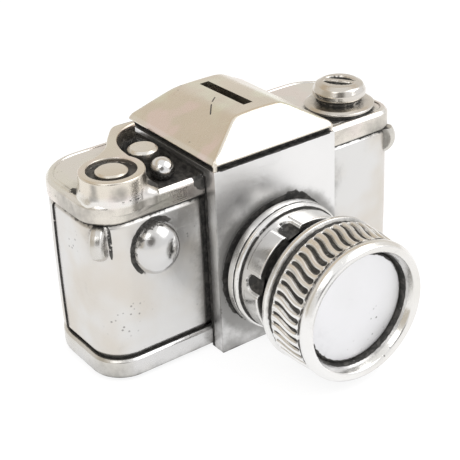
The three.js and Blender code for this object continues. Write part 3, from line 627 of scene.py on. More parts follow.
def top_soot(x, y, z):
    """The pit and its walls, the hub's well and foot, a patch on the deck and the housing's corner."""
    pit = in_pit(x, y) * z.ramp(HUB_TOP - 1.5, DECK - 0.5)
    hub_away = distance(x, y, *HUB)
    well = hub_away.ramp(WELL_RADIUS + 0.1, WELL_RADIUS - 0.4) * z.ramp(HUB_TOP - 0.4, HUB_TOP - 1.0)
    patch = distance(x, y, HUB[0] - 11.4, HUB[1] + 6.6, 2.8, 7.0).ramp(1.1, 0.4, 0.75)
    patch *= z.ramp(DECK + 1.5, DECK + 0.5)
    corner = distance(x, z, -HALF_HOUSING - 1.2, DECK - 1.8, 4.6, 4.6).ramp(1.15, 0.6, 0.95)
    corner *= y.ramp(FRONT + 4, FRONT + 2)
    low_edge = z.ramp(BAND_BOTTOM + 0.8, BAND_BOTTOM + 0.2) * 0.9
    foot = z.between(DECK - 0.2, DECK + 0.6, 0.5) * hub_away.ramp(HUB_RADIUS + 0.7, HUB_RADIUS - 0.1)
    foot *= y.ramp(FRONT + 2, FRONT - 0.3)
    return either(pit, well, patch, corner, low_edge, foot * 0.55)


def top_darker_places(x, y, z):
    """Darker in the middle and at the left edge of the hub's wall, and along the band below the deck."""
    wall = z.ramp(HUB_TOP - 0.2, HUB_TOP - 1.2) * z.ramp(DECK, DECK + 1.5)
    middle = distance(x, z, HUB[0] - 4.2, DECK + 3.0, 5.2, 7.0).ramp(1.2, 0.2, 0.55)
    edge = x.ramp(HUB[0] - HUB_RADIUS + 3.6, HUB[0] - HUB_RADIUS + 1.2, 0.6)
    front = y.ramp(HUB[1] - 2, HUB[1] - 6)
    return wall * either(middle, edge) * front + z.ramp(DECK - 0.8, DECK - 2.2, 0.34)


def top_pits(x, y, z):
    """A patch of the deck behind the hub."""
    return distance(x, y, HUB[0] - 12.4, HUB[1] + 5.6, 2.6, 6.0).ramp(1.3, 0.7)


def top_warmth(x, y, z):
    """The hub, the lever and the band are yellower than the deck."""
    return either(z.ramp(DECK + 0.6, DECK + 3.5), z.ramp(DECK - 0.8, DECK - 2.2, 0.7))


def control_soot(x, y, z):
    """The side of the dial, and the foot of the dial and the disc."""
    return either(z.ramp(DECK + 5.0, DECK + 4.0, 0.42), z.ramp(DECK + 2.0, DECK, 0.9)) * in_pit(x, y)


def button_soot(x, y, z):
    return z.ramp(DECK + 0.8, DECK - 0.2, 0.9)


def rewind_soot(x, y, z):
    """In the undercuts of the knob and its collar, and in the two crescents."""
    away = distance(x, y, *REWIND)
    waist = z.between(COLLAR_TOP - 0.2, COLLAR_TOP + 0.9, 0.5) * away.ramp(9.9, 9.2)
    crescent = away.ramp(7.2, 6.6) * z.between(KNOB_TOP - 3.0, KNOB_TOP - 0.9, 0.5)
    return either(waist * 0.7, z.ramp(DECK + 1.3, DECK + 0.8), crescent)


def housing_soot(x, y, z):
    """Round the mount ring, in the corner with the panels, and round the plinth's foot and top."""
    # The ring of blackening comes to a point above the mount ring.
    point = abs(x - 9.5).ramp(10.0, 0.0, 2.2) * z.ramp(LENS_HEIGHT + 8, LENS_HEIGHT + 14)
    ring = (from_lens(x, z) - point).ramp(MOUNT_RADIUS + 1.5, MOUNT_RADIUS - 0.5) * on_face(y)
    behind = y.ramp(FRONT - 1.8, FRONT - 0.3) * z.ramp(DECK, DECK - 1.0)
    foot = z.ramp(DECK + 1.5, DECK + 0.7) * z.ramp(DECK - 0.6, DECK) * y.ramp(FRONT, FRONT + 1)
    top = z.ramp(PLINTH_TOP - 0.7, PLINTH_TOP - 0.2) * abs(x).ramp(HALF_HOUSING - 0.7, HALF_HOUSING - 1.5)
    return either(ring, behind, foot, top * from_front_corner(x, y).ramp(1.8, 3.2))


def housing_tarnish_and_shade(x, y, z):
    """Smoky tarnish round the lens, and painted shade that darkens the face towards the grip."""
    round_lens = from_lens(x, z).ramp(MOUNT_RADIUS + 8, MOUNT_RADIUS, 0.5)
    return (round_lens + x.ramp(0, -HALF_HOUSING + 4, 0.2)) * on_face(y)


def nick(x, y, start, end, half=0.16):
    """A short straight mark from start to end in plan."""
    length = math.dist(start, end)
    run_x, run_y = (end[0] - start[0]) / length, (end[1] - start[1]) / length
    off_x, off_y = x - start[0], y - start[1]
    along, across = off_x * run_x + off_y * run_y, off_x * run_y - off_y * run_x
    return along.between(0, length, 0.4) * abs(across).ramp(half + 0.25, half)


def prism_soot(x, y, z):
    """Under the prism's lip, and two short marks by the slot."""
    waist = z.ramp(PRISM_BASE + 0.15, PRISM_BASE - 0.15) * from_front_corner(x, y).ramp(1.6, 3.0)
    first = nick(x, y, (-9.0, -3.6), (-5.9, -1.0))
    second = nick(x, y, (-14.4, -9.9), (-10.5, -5.1))
    return either(waist, first, second)


def lens_soot(x, y, z):
    """In the coves, steps, scallops and grooves of the lens's rings."""
    away, station = from_lens(x, z), HOUSING_FRONT - y
    radius, start, end = stations("mount_ring")
    cove = station.ramp(end - 5.2, end - 6.2) * away.ramp(radius + 0.2, radius - 0.6)
    step = station.between(end - 2.5, end - 2.2, 0.35) * 0.8
    ring_end = station.between(end - 0.15, end + 0.2, 0.35) * 0.85
    radius, start, end = stations("aperture_ring")
    cup = away.ramp(radius - 1.6, radius - 3.2, 0.25) * station.between(end - 2.6, end + 0.5, 1.2)
    radius, start, end = stations("focus_ring")
    rear = station.ramp(start + 0.4, start - 0.1) * station.between(start - 1, start + 1, 1)
    groove = station.between(start + 2.9, start + 4.7, 0.5) * away.ramp(radius - 0.3, radius - 1.0)
    leaning = away + (station - (start + 4.6)) * 0.067
    ribs = leaning.ramp(radius - 0.75, radius - 1.3) * station.between(start + 4, end - 1, 0.5)
    radius, start, end = stations("front_bezel")
    inner = away.ramp(24.6, 24.0) * station.ramp(end - 3.6, end - 4.6)
    face = station.between(start + 4.0, start + 4.9, 0.3) * away.ramp(radius + 0.1, radius - 0.6, 0.7)
    return either(cove, step, ring_end, cup, rear, groove, ribs, inner, face)


def disc_edge_shadow(x, y, z):
    """Painted shadow round the disc's edge, where it sits in the bezel."""
    radius = stations("front_disc")[0]
    return from_lens(x, z).ramp(radius - 2.0, radius - 0.6)


SILVER_TINT = (0.74, 0.735, 0.73)
CREAM_TINT = (0.71, 0.68, 0.63)
WARM_TINT = (0.72, 0.67, 0.59)
TOP_TINT = (0.75, 0.725, 0.68)
panel_silver = silver("panel_silver", (0.70, 0.695, 0.685), (0.655, 0.62, 0.57),
                      panel_soot, panel_stain, panel_pits, rough=0.3)
body_silver = silver("antiqued_silver", (0.68, 0.675, 0.67), (0.62, 0.60, 0.555), rough=0.24)
housing_silver = silver("housing_silver", (0.80, 0.795, 0.79), SILVER_TINT,
                        housing_soot, housing_tarnish_and_shade, rough=0.3, reach=1.8)
top_silver = silver("warm_silver", (0.775, 0.757, 0.725), WARM_TINT,
                    top_soot, top_darker_places, top_pits, rough=0.22, rainbow=0.3, warmer=top_warmth)
control_silver = silver("control_silver", TOP_TINT, WARM_TINT, control_soot, rough=0.22)
button_silver = silver("button_silver", SILVER_TINT, CREAM_TINT, button_soot, rough=0.12)
rewind_silver = silver("rewind_silver", (0.68, 0.655, 0.62), (0.64, 0.60, 0.54), rewind_soot,
                       rough=0.16, reach=1.6)
prism_silver = silver("prism_silver", (0.745, 0.69, 0.605), WARM_TINT, prism_soot,
                      shade_and_tarnish_strength=0.25, rough=0.24, rainbow=0.7)
dome_silver = silver("dome_silver", (0.66, 0.655, 0.65), (0.60, 0.585, 0.56), dome_soot, rough=0.16)
lens_silver = silver("lens_silver", (0.83, 0.825, 0.815), (0.78, 0.765, 0.735), lens_soot,
                     shade_and_tarnish_strength=1.2, rough=0.17, reach=1.7)
# Near-black for the lens neck: partly blackened oxide, partly painted shade in the deep gap between the
# aperture and focus rings.
blackened_and_shaded_silver = silver("blackened_and_gap_shade_silver", (0.07, 0.07, 0.066), (0.045, 0.045, 0.041), rough=0.35)
satin_silver = silver("satin_silver", (0.81, 0.81, 0.825), (0.79, 0.79, 0.80), disc_edge_shadow,
                      shade_and_tarnish_strength=0.3, rough=0.4)
steel = plain("plain_steel", (0.55, 0.56, 0.57), 0.3, metallic=1.0)
rubber = plain("stopper_rubber", (0.02, 0.02, 0.019), 0.6)


# ---- Casing ----------------------------------------------------------------------------------
def panel_section():
    """The wall between the bands: rolled in at both ends, with a slight belly."""
    inside = PANEL + WALL
    low, high = BASE_TOP, BAND_BOTTOM
    middle = (low + high) / 2
    outer = rounded([(inside, low), (PANEL + 1.3, low, 0.2), (PANEL + 1.2, low + 0.8, 0.5),
                     (PANEL, low + 2.6, 1.6), (PANEL, high - 1.8, 1.4), (PANEL + 1.0, high - 0.6, 0.5),
                     (PANEL + 1.2, high, 0.2), (inside, high)], closed=False)
    made = []
    for inset, height in spaced(outer, 6.0):
        belly = 0.35 * max(0.0, 1 - ((height - middle) / (0.5 * (high - low))) ** 2)
        made.append((inset - belly if inset < inside - 0.5 else inset, height))
    return made


def shells():
    section = panel_section()
    front = bare("front", swept(section, front_path))
    hole = [(0, 0), (BOLT_HOLE, 0), (BOLT_HOLE, 20), (0, 20)]
    cut(front, turned(hole, (0, -15, LENS_HEIGHT), "front", 32))
    bevelled(front, 0.5, 3, 50)
    finished(front, "front_shell", panel_silver)
    rear = bare("rear", swept([(inset - REAR_PROUD, height) for inset, height in section], rear_path))
    bevelled(rear, 0.7, 3, 50)
    finished(rear, "rear_cover", panel_silver)


def housing_gap(bottom, top):
    half = HALF_HOUSING + 0.3
    return cuboid((-half, FRONT - 2, bottom), (half, FRONT + PANEL, top))


def chute(bottom, top):
    """The way from the slot down into the casing."""
    return cuboid((-20, -19, bottom), (20, 19, top))


def base():
    floor = 3.2
    inside = PANEL + WALL
    section = rounded([(3.2, 0, 0.8), (0, 1.6, 2.2), (0, BASE_TOP - 1.0, 0.8), (1.0, BASE_TOP, 0.6),
                       (inside, BASE_TOP, 0.3), (inside, floor + 0.6)], closed=False)
    section = np.vstack([[(4.2, 0.0)], section, [(inside + 0.8, floor)]])
    piece = bare("base", stacked(section, casing_loop))
    centre_x, _, reach, *_ = upright("coin_stopper")
    flange = [(0, -1), (reach + 1.1, -1), (reach + 0.3, 0.5, 0.4), (reach + 0.3, 2.0), (0, 2.0)]
    hole = [(0, -1), (reach - 2.7, -1), (reach - 2.7, 9), (0, 9)]
    cutters = [housing_gap(-1, BASE_TOP + 1)] + [turned(p, (centre_x, 0, 0)) for p in (flange, hole)]
    sink = [(0, -1), (3.8, -1), (3.6, 0.6), (1.9, 2.3), (1.9, 5), (0, 5)]
    for node in SCREWS:
        screw_x, screw_y, *_ = upright(node)
        cutters.append(turned(sink, (screw_x, screw_y, 0), segments=48))
    cut(piece, *cutters)
    finished(piece, "base_plate", body_silver, sharp=40)


# ---- Top plate -------------------------------------------------------------------------------
# The lever's two edges, as shares of the way from the hub's middle to the lever's far corner.
LEVER_INNER = [(0.37, 0.1), (0.41, 0.42), (0.52, 0.66), (0.72, 0.84), (0.97, 0.92)]
LEVER_OUTER = [(0.86, 0.995), (0.66, 0.98), (0.46, 0.78), (0.25, 0.53), (-0.02, 0.37), (-0.3, 0.2)]


def lever_point(share):
    return (HUB[0] + share[0] * LEVER_REACH, HUB[1] + share[1] * LEVER_LENGTH)


def lever_loop():
    inner = spline([lever_point(s) for s in LEVER_INNER], 7)
    outer = spline([lever_point(s) for s in LEVER_OUTER], 7)
    tip = spline([inner[-1], lever_point((0.985, 0.975)), outer[0]], 4)[1:-1]
    return np.vstack([[HUB], inner, tip, outer])


def pit_loop():
    """The pit's outline. Its rear edge runs along the middle of the lever."""
    edges = zip(LEVER_INNER, reversed(LEVER_OUTER[1:]))
    middle = [lever_point(((a[0] + b[0]) / 2, (a[1] + b[1]) / 2)) for a, b in edges]
    front = [(middle[0][0], PIT_FRONT), (PIT_RIGHT, PIT_FRONT, 1.6), (PIT_RIGHT, middle[4][1], 1.6)]
    return rounded(front + middle[::-1], steps=5)


def rounded_top(loop, bottom, top, radius, steps=5):
    """An upright solid over a loop, whose upper edge is rounded."""
    rings = [with_height(loop, bottom), with_height(loop, top - radius)]
    for k in range(1, steps + 1):
        turn = 0.5 * math.pi * k / steps
        edge = inset_loop(loop, radius * (1 - math.cos(turn)))
        rings.append(with_height(edge, top - radius * (1 - math.sin(turn))))
    return loft(rings)


def hub_flare(radius, height, turn):
    """The hub's foot sweeps out on to the pit's front rim, and a little on to the deck."""
    off_rim = abs(wrapped(turn + math.radians(33), 2 * math.pi))
    off_deck = abs(wrapped(turn - math.radians(165), 2 * math.pi))
    reach = 4.6 * smooth((math.radians(34) - off_rim) / math.radians(26))
    reach += 1.6 * smooth((math.radians(50) - off_deck) / 0.4)
    low = np.clip((DECK + 5.5 - height) / 6.0, 0, 1)
    return np.where(radius > HUB_RADIUS - 0.5, radius + reach * low ** 2.2, radius), height


def top_plate():
    section = rounded([(3.2, BAND_BOTTOM, 0.2), (1.0, BAND_BOTTOM, 0.5), (0, BAND_BOTTOM + 1.1, 0.8),
                       (0, DECK - 1.7, 1.6), (1.5, DECK, 1.4), (2.9, DECK, 0.25), (3.2, DECK - 0.5, 0.15),
                       (3.7, DECK - 0.2, 0.2), (4.4, DECK - 0.2)], closed=False)
    section = np.vstack([[(4.0, BAND_BOTTOM + 1.2)], section])
    piece = bare("top", stacked(section, casing_loop))
    loop = pit_loop()
    levels = [(0.9, PIT_FLOOR), (0.25, PIT_FLOOR + 0.2), (0.0, PIT_FLOOR + 0.8), (-0.15, DECK - 1.1),
              (-0.6, DECK - 0.35), (-1.3, DECK + 0.02), (-1.5, DECK + 1)]
    pit = loft([with_height(inset_loop(loop, inset), height) for inset, height in levels])
    cut(piece, pit, housing_gap(BAND_BOTTOM - 1, DECK + 1), chute(60, DECK + 1))

    lever = bare("lever", rounded_top(lever_loop(), PIT_FLOOR - 1, HUB_TOP, 0.8))
    foot, well_floor, well_foot = PIT_FLOOR - 2, HUB_TOP - 1.9, WELL_RADIUS - 0.2
    outline = [(0, foot), (HUB_RADIUS + 0.1, foot), (HUB_RADIUS, foot + 6, 3.0), (HUB_RADIUS, HUB_TOP, 0.9),
               (WELL_RADIUS, HUB_TOP, 0.4), (well_foot, well_floor, 0.3), (0, well_floor)]
    centre = (*HUB, 0)
    hub = bare("hub", turned(outline, centre, segments=128, gap=1.0, steps=6, relief=hub_flare))
    well = [(0, well_floor), (well_foot, well_floor), (WELL_RADIUS, HUB_TOP - 0.4),
            (WELL_RADIUS + 0.5, HUB_TOP + 1), (0, HUB_TOP + 1)]
    cut(lever, turned(well, centre, segments=128))
    combine(hub, lever, "UNION")
    combine(piece, hub, "UNION")
    finished(piece, "top_plate", top_silver, 32)


def controls():
    *_, reach, _, _ = upright("wind_hub_disc")
    outline = [(0, -2.2), (reach, -2.2), (reach, -0.75, 0.5), (reach - 0.9, -0.15, 0.4), (0, 0)]
    piece = bare("disc", turned(outline, (*HUB, HUB_TOP), gap=2.0))
    finished(piece, "wind_hub_disc", control_silver)

    *middle, reach, _, top = upright("speed_dial")
    outline = [(0, PIT_FLOOR - 1), (reach + 0.5, PIT_FLOOR - 1), (reach, PIT_FLOOR + 1.0, 0.8),
               (reach, top - 1.0, 0.6), (reach - 1.2, top - 0.15, 0.8), (0, top)]
    piece = bare("dial", turned(outline, (*middle, 0), gap=1.5))
    finished(piece, "speed_dial", control_silver)

    *middle, reach, _, top = upright("shutter_button")
    reach *= BUTTON_SCALE
    neck, foot = reach * 0.86, PIT_FLOOR - top + reach
    turns = np.linspace(-math.asin(0.72), 0.5 * math.pi, 28)[:-1]
    ball = [(reach * math.cos(t), reach * math.sin(t)) for t in turns] + [(0, reach)]
    outline = [(0, foot - 1), (neck, foot - 1), (neck, foot + 0.1)] + ball
    piece = bare("button", turned(outline, (*middle, top - reach), segments=72))
    finished(piece, "shutter_button", button_silver)


def crescents(radius, height, turn, low):
    """Sinks two crescents into the knob's top, above low, and leaves a bar between them."""
    half_long, half_wide, bar, depth = 6.9, 4.9, 0.9, 1.6
    across = np.abs(radius * math.sin(turn))
    away = np.sqrt((radius * math.cos(turn) / half_long) ** 2 + (across / half_wide) ** 2)
    inside = smooth((1 - away) * half_wide / 0.7) * smooth((across - bar) / 0.5)
    return radius, np.where(height > low, height - depth * inside, height)


def rewind():
    *middle, reach, _, top = upright("rewind_collar")
    centre, top = (*middle, DECK), top - DECK
    outline = [(0, -0.5), (reach - 0.9, -0.5), (reach - 1.1, 0.9, 0.3), (reach, 1.5, 0.5),
               (reach - 0.1, 2.3, 0.5), (reach - 1.6, top - 0.4, 0.8), (9.0, top, 0.5), (0, top)]
    piece = bare("collar", turned(outline, centre, segments=128))
    finished(piece, "rewind_collar", rewind_silver)

    reach, tall = upright("rewind_knob")[2], KNOB_TOP - DECK
    outline = [(0, top - 0.5), (reach - 2.2, top - 0.5), (reach - 1.9, top + 1.2, 0.8),
               (reach, top + 2.8, 1.6), (reach, tall - 3.6, 1.6), (reach - 1.2, tall - 1.3, 1.6),
               (reach - 3.4, tall - 0.2, 1.2), (0, tall)]
    relief = lambda r, h, t: crescents(r, h, t, tall - 2)
    piece = bare("knob", turned(outline, centre, segments=144, gap=0.4, steps=6, relief=relief))
    spin(piece, centre, -57)
    finished(piece, "rewind_knob", rewind_silver, 50)


# ---- Housing and prism -----------------------------------------------------------------------
def housing():
    half, back = HALF_HOUSING, FRONT + PANEL
    piece = bare("housing", cuboid((-half, HOUSING_FRONT, 0), (half, back, PLINTH_TOP)))
    combine(piece, bare("plinth", cuboid((-half, back - 1, DECK), (half, PLINTH_REAR, PLINTH_TOP))), "UNION")
    bevelled(piece, 1.1, 4, 40)
    half -= WALL
    cut(piece, chute(DECK - 1, PLINTH_TOP + 1),
        cuboid((-half, HOUSING_FRONT + WALL, WALL), (half, back + 1, DECK - WALL)))
    finished(piece, "lens_housing", housing_silver, sharp=40)


def soft_min(a, b, radius):
    share = np.clip(0.5 + 0.5 * (b - a) / radius, 0, 1)
    return b + (a - b) * share - radius * share * (1 - share)


def prism_height(x, y):
    """Height above the prism's base: straight flanks, a crown, and a slope at each end."""
    rise = prism_high[2] - PRISM_BASE + 0.15
    along = (y - HOUSING_FRONT) / (PLINTH_REAR - HOUSING_FRONT)
    away = np.abs(x) / HALF_HOUSING
    flank = (1 - away) * HALF_HOUSING * FLANK_SLOPE
    crown = rise - 2.7 * away ** 2
    height = soft_min(flank, crown, 1.3 + 1.2 * along) * (1 - RIDGE_FALL / rise * along)
    front = (y - HOUSING_FRONT) * rise / FRONT_RUN
    rear = (PLINTH_REAR - y) * rise / REAR_RUN
    return np.maximum(soft_min(soft_min(height, front, 0.9), rear, 1.4), 0.0)


def edge_spaced(low, high, edge=2.4, fine=0.2, coarse=0.75):
    """Numbers from low to high, closer together near both ends."""
    near = np.arange(0, edge, fine)
    middle = np.linspace(low + edge, high - edge, int((high - low) / coarse))
    return np.concatenate([low + near, middle, high - near[::-1]])


def rounded_corners(x, y, radius):
    """Moves points near the prism's corners in plan, so that its corners become round."""
    middle = (HOUSING_FRONT + PLINTH_REAR) / 2
    half = (PLINTH_REAR - HOUSING_FRONT) / 2
    over_x = radius - (HALF_HOUSING - np.abs(x))
    over_y = radius - (half - np.abs(y - middle))
    corner = (over_x > 0) & (over_y > 0)
    scale = np.where(corner, np.maximum(over_x, over_y) / np.maximum(np.hypot(over_x, over_y), 1e-9), 1)
    new_x = np.where(corner, np.sign(x) * (HALF_HOUSING - radius + over_x * scale), x)
    new_y = np.where(corner, middle + np.sign(y - middle) * (half - radius + over_y * scale), y)
    return new_x, new_y


def prism():
    xs = edge_spaced(-HALF_HOUSING, HALF_HOUSING)
    ys = edge_spaced(HOUSING_FRONT, PLINTH_REAR)
    grid_x, grid_y = np.meshgrid(xs, ys)
    lip = 1.1
    rise = lip + prism_height(grid_x, grid_y) * (1 - lip / (prism_high[2] - PRISM_BASE))
    to_side = HALF_HOUSING - np.abs(grid_x)
    to_end = np.minimum(grid_y - HOUSING_FRONT, PLINTH_REAR - grid_y)
    to_edge = np.maximum(soft_min(to_side, to_end, 1.0), 0)
    grid_z = PRISM_BASE + soft_min(rise, 0.3 + 1.5 * to_edge, 0.7)
    grid_x, grid_y = rounded_corners(grid_x, grid_y, 1.8)
    verts = np.stack([grid_x.ravel(), grid_y.ravel(), grid_z.ravel()], axis=1)
    wide, deep = len(xs), len(ys)
    number = np.arange(wide * deep).reshape(deep, wide)
    faces = [(i, i + 1, i + wide + 1, i + wide) for i in number[:-1, :-1].ravel().tolist()]
    sides = (number[0], number[1:, -1], number[-1, -2::-1], number[-2:0:-1, 0])
    rim = np.concatenate(sides).tolist()
    # Below the rim: a rounded lip, a step in to the waist, and the foot on the plinth.
    levels = [(0.0, PRISM_BASE + 0.1), (0.25, PRISM_BASE - 0.25), (0.9, PRISM_BASE - 0.4),
              (WAIST, PRISM_BASE - 0.6), (WAIST, PLINTH_TOP)]
    # The waist runs out to the surface at the two front corners.
    from_corner = np.hypot(HALF_HOUSING - np.abs(verts[rim][:, 0]), verts[rim][:, 1] - HOUSING_FRONT)
    depth = 0.12 + 0.88 * smooth((from_corner - 1.2) / 2.6)
    count, start = len(rim), len(verts)
    loops, rows = [], [rim]
    for k, (inset, height) in enumerate(levels):
        ring = verts[rim].copy()
        ring[:, 0] = np.clip(ring[:, 0], -HALF_HOUSING + inset * depth, HALF_HOUSING - inset * depth)
        ring[:, 1] = np.clip(ring[:, 1], HOUSING_FRONT + inset * depth, PLINTH_REAR - inset * depth)
        ring[:, 2] = height
        loops.append(ring)
        rows.append([start + k * count + i for i in range(count)])
    for upper, lower in zip(rows[:-1], rows[1:]):
        for i in range(count):
            k = (i + 1) % count
            faces.append((upper[i], lower[i], lower[k], upper[k]))
    faces.append(tuple(rows[-1]))
    piece = bare("prism", (np.vstack([verts] + loops), faces))
    slot = cuboid((-2.2, -15, PRISM_BASE), (2.2, 15, prism_high[2] + 3))
    cut(piece, chute(PLINTH_TOP - 1, PRISM_BASE + 3.2), slot)
    finished(piece, "prism_cap", prism_silver, 38)


def eyepiece():
    low, high = corners("eyepiece_frame")
    left, bottom, right, top, rear = low[0], low[2], high[0], high[2], high[1]
    around = [(left, bottom), (right, bottom), (right, top), (left, top)]
    outline = rounded([(*place, 1.6) for place in around], steps=6)
    levels = [(0.0, low[1]), (0.0, rear - 0.6), (0.2, rear - 0.15), (0.6, rear), (1.1, rear),
              (1.5, rear - 0.3), (1.6, rear - 1.2)]
    # The rings are stacked along y, so their second and third columns change places.
    rings = [with_height(inset_loop(outline, inset), depth)[:, [0, 2, 1]] for inset, depth in levels]
    finished(bare("eyepiece", loft(rings)), "eyepiece_frame", body_silver, sharp=45)


# ---- Trim on the front -----------------------------------------------------------------------
def dome():
    low, high = corners("grip_dome")
    wide, tall, proud = DOME_SIZE[0], DOME_SIZE[2], high[1] - low[1]
    turns = np.linspace(0, 0.5 * math.pi, 26)[:-1]
    curve = [(wide * math.cos(t), proud * math.sin(t)) for t in turns] + [(0, proud)]
    verts, faces = turned([(0, -0.5), (wide, -0.5)] + curve, (DOME[0], high[1], DOME[2]), "front")
    verts[:, 2] = DOME[2] + (verts[:, 2] - DOME[2]) * tall / wide
    finished(bare("dome", (verts, faces)), "grip_dome", dome_silver)


def lug(node, corner, sunk, aside, rise):
    """A rounded tab, sunk into a casing corner, moved aside, and rise above its node's lowest point."""
    way_x, way_y, radius = corner
    centre_x = (RIGHT if way_x > 0 else LEFT) - way_x * radius
    centre_y = FRONT + radius
    out = (radius - PANEL - sunk) * math.sqrt(0.5)
    half = 2.8
    side = [(0, -half), (5.6, -half, 0.9), (6.9, -half + 0.9, 0.9), (7.2, 0, 2.0), (6.9, half - 0.9, 0.9),
            (5.6, half, 0.9), (0, half)]
    verts, faces = turned(side, (0, 0, 0), segments=72, gap=1.0)
    # The lathe's axis lies level, across the corner's diagonal.
    along = np.array([math.sqrt(0.5), -way_x * way_y * math.sqrt(0.5), 0.0])
    outward = np.array([way_x * math.sqrt(0.5), way_y * math.sqrt(0.5), 0.0])
    height = corners(node)[0][2] + rise
    place = np.array([centre_x + way_x * out, centre_y + way_y * out, height]) - aside * along
    verts = place + verts[:, :1] * outward + verts[:, 1:2] * np.array([0, 0, 1.0]) + verts[:, 2:] * along
    piece = bare("lug", (verts, faces))
    cut(piece, cuboid((LEFT - 2, FRONT - 8, BAND_BOTTOM - 0.3), (RIGHT + 2, 0, BAND_BOTTOM + 9)))
    finished(piece, node, body_silver, sharp=40)


# ---- Lens ------------------------------------------------------------------------------------
def lens_ring(node, outline, material, segments, slot="silver_plate", sharp=50, body="casing", **how):
    piece = bare("ring", turned(outline, LENS, "front", segments, closed=True, **how))
    finished(piece, node, material, sharp, body)


def mount_ring():
    radius, start, end = stations("mount_ring")
    outline = [(20, start), (radius - 2.2, start), (radius - 2.4, start + 1.6, 0.6),
               (radius - 0.5, start + 2.3, 0.3), (radius, start + 2.9, 0.5),
               (radius - 0.15, start + 5.6, 0.4), (radius - 0.55, start + 5.9, 0.15),
               (radius - 0.55, start + 6.2, 0.15), (radius - 0.25, start + 6.5, 0.3),
               (radius - 0.6, end - 0.7, 0.3), (radius - 1.3, end - 0.3, 0.2), (radius - 1.3, end, 0.1),
               (20, end)]
    lens_ring("mount_ring", outline, lens_silver, 192, steps=3)


def aperture_ring():
    radius, start, end = stations("aperture_ring")
    count, phase = 6, math.radians(-18)

    def scallops(r, h, turn):
        off = wrapped(turn - phase, 2 * math.pi / count) * radius
        # A round-ended cup, open to the front.
        back = np.maximum(0, (end - 4.2) - h)
        away = np.sqrt(off ** 2 + back ** 2)
        sunk = 2.7 * np.sqrt(np.clip(1 - (away / 3.7) ** 2, 0, 1))
        # The grips between the cups stand a little proud of the ring's plain rear part.
        grip = smooth((h - start - 2.4) / 0.5) * smooth((abs(off) - 4.3) / 0.7)
        return np.where(r > radius - 2.6, r - sunk - 0.45 * (1 - grip), r), h

    outline = [(20, start), (radius, start, 0.2), (radius, end - 0.4, 0.7), (radius - 1.2, end, 0.5),
               (20, end)]
    lens_ring("aperture_ring", outline, lens_silver, 540, gap=0.3, relief=scallops)


def neck():
    radius, start, end = stations("lens_neck")
    tube = radius - 2
    outline = [(BOLT_HOLE, start + 1), (tube, start + 1), (tube, end - 8.5, 0.3), (radius, end - 8.3, 0.3),
               (radius, end - 6.9, 0.3), (tube, end - 6.7, 0.2), (tube, end, 0.2), (BOLT_HOLE, end)]
    # Near-black: blackened oxide and painted shade for the gap between the rings.
    lens_ring("lens_neck", outline, blackened_and_shaded_silver, 128, "dark_silver_plate")


def focus_ring():
    radius, start, end = stations("focus_ring")
    count, most_lean, inner = 44, 0.075, 19.9
    flange = start + 2.8
    ribbed = flange + 1.8
    groove_start, groove_end = ribbed + 1.1, end - 0.9

    def ribs(r, h, turn):
        # Each groove leans in an S from its rear end to its round front end.
        along = np.clip((h - groove_start) / (groove_end - groove_start), 0, 1)
        lean = most_lean * (1 - smooth(along)) + 0.012 * np.sin(along * 2 * math.pi)
        off = wrapped(turn + math.radians(6) - lean, 2 * math.pi / count) * radius
        half = 0.78 + 0.42 * along
        beyond = np.maximum(np.maximum(groove_start + half - h, h - groove_end + half), 0)
        groove = smooth((half - np.sqrt(off ** 2 + beyond ** 2)) / 0.7 + 0.35)
        crest = 0.28 * smooth(1 - np.abs(off) / 2.2) * (1 - groove)
        on_grip = (r > radius - 3) & (h > ribbed + 0.4)
        return np.where(on_grip, r - 1.15 * groove - crest, r), h

    outline = [(inner, start), (radius - 0.4, start, 0.3), (radius, start + 0.7, 0.5),
               (radius, flange - 0.7, 0.5), (radius - 1.9, flange + 0.1, 0.3),
               (radius - 1.9, ribbed - 0.2, 0.3), (radius - 0.3, ribbed + 0.9, 0.6),
               (radius - 0.6, (ribbed + end) / 2, 3.0), (radius - 1.35, end, 0.2), (radius - 4.6, end),
               (radius - 4.6, start + 6), (inner, start + 6)]
    lens_ring("focus_ring", outline, lens_silver, count * 18, sharp=60, body="lens_front",
              steps=3, gap=0.32, relief=ribs)


def bezel():
    radius, start, end = stations("front_bezel")
    face, opening, sleeve = start + 4.4, 23.6, 25.0
    middle = (radius + opening) / 2
    outline = [(21.5, start), (sleeve, start), (sleeve, face), (radius - 0.5, face),
               (radius - 0.5, face + 0.5, 0.3), (radius, face + 1.5, 1.0), (radius, end - 2.2, 2.0),
               (radius - 1.3, end - 0.25, 2.0), (middle + 0.7, end + 0.1, 1.8),
               (opening + 1.2, end - 0.7, 1.2), (opening + 0.2, end - 3.0, 1.2),
               (opening - 0.9, start + 2.3, 0.5), (21.5, start + 2)]
    lens_ring("front_bezel", outline, lens_silver, 192, sharp=60, body="lens_front", steps=6)

    radius, start, end = stations("front_disc")
    edge = [(0, start), (radius - 0.4, start), (radius - 0.1, start + 1.2, 0.5),
            (radius - 1.4, start + 1.5, 0.8), (0.5 * radius, end - 0.15, 6), (0, end)]
    piece = bare("disc", turned(edge, LENS, "front", 128, gap=1.5, steps=6))
    finished(piece, "front_disc", satin_silver, 60, "lens_front")


# ---- Underside -------------------------------------------------------------------------------
def screws():
    for node, turn in zip(SCREWS, (37, 101, 12, 146)):
        x, y, reach, low, high = upright(node)
        long = high - low
        outline = [(0, 0), (reach, 0, 0.15), (reach, 0.25, 0.1), (1.6, 1.9), (1.6, long - 1), (0, long)]
        piece = bare("screw", turned(outline, (x, y, low), segments=48))
        cut(piece, cuboid((x - 5, y - 0.45, low - 1), (x + 5, y + 0.45, low + 0.8)))
        spin(piece, (x, y, low), turn)
        finished(piece, node, steel, 40)


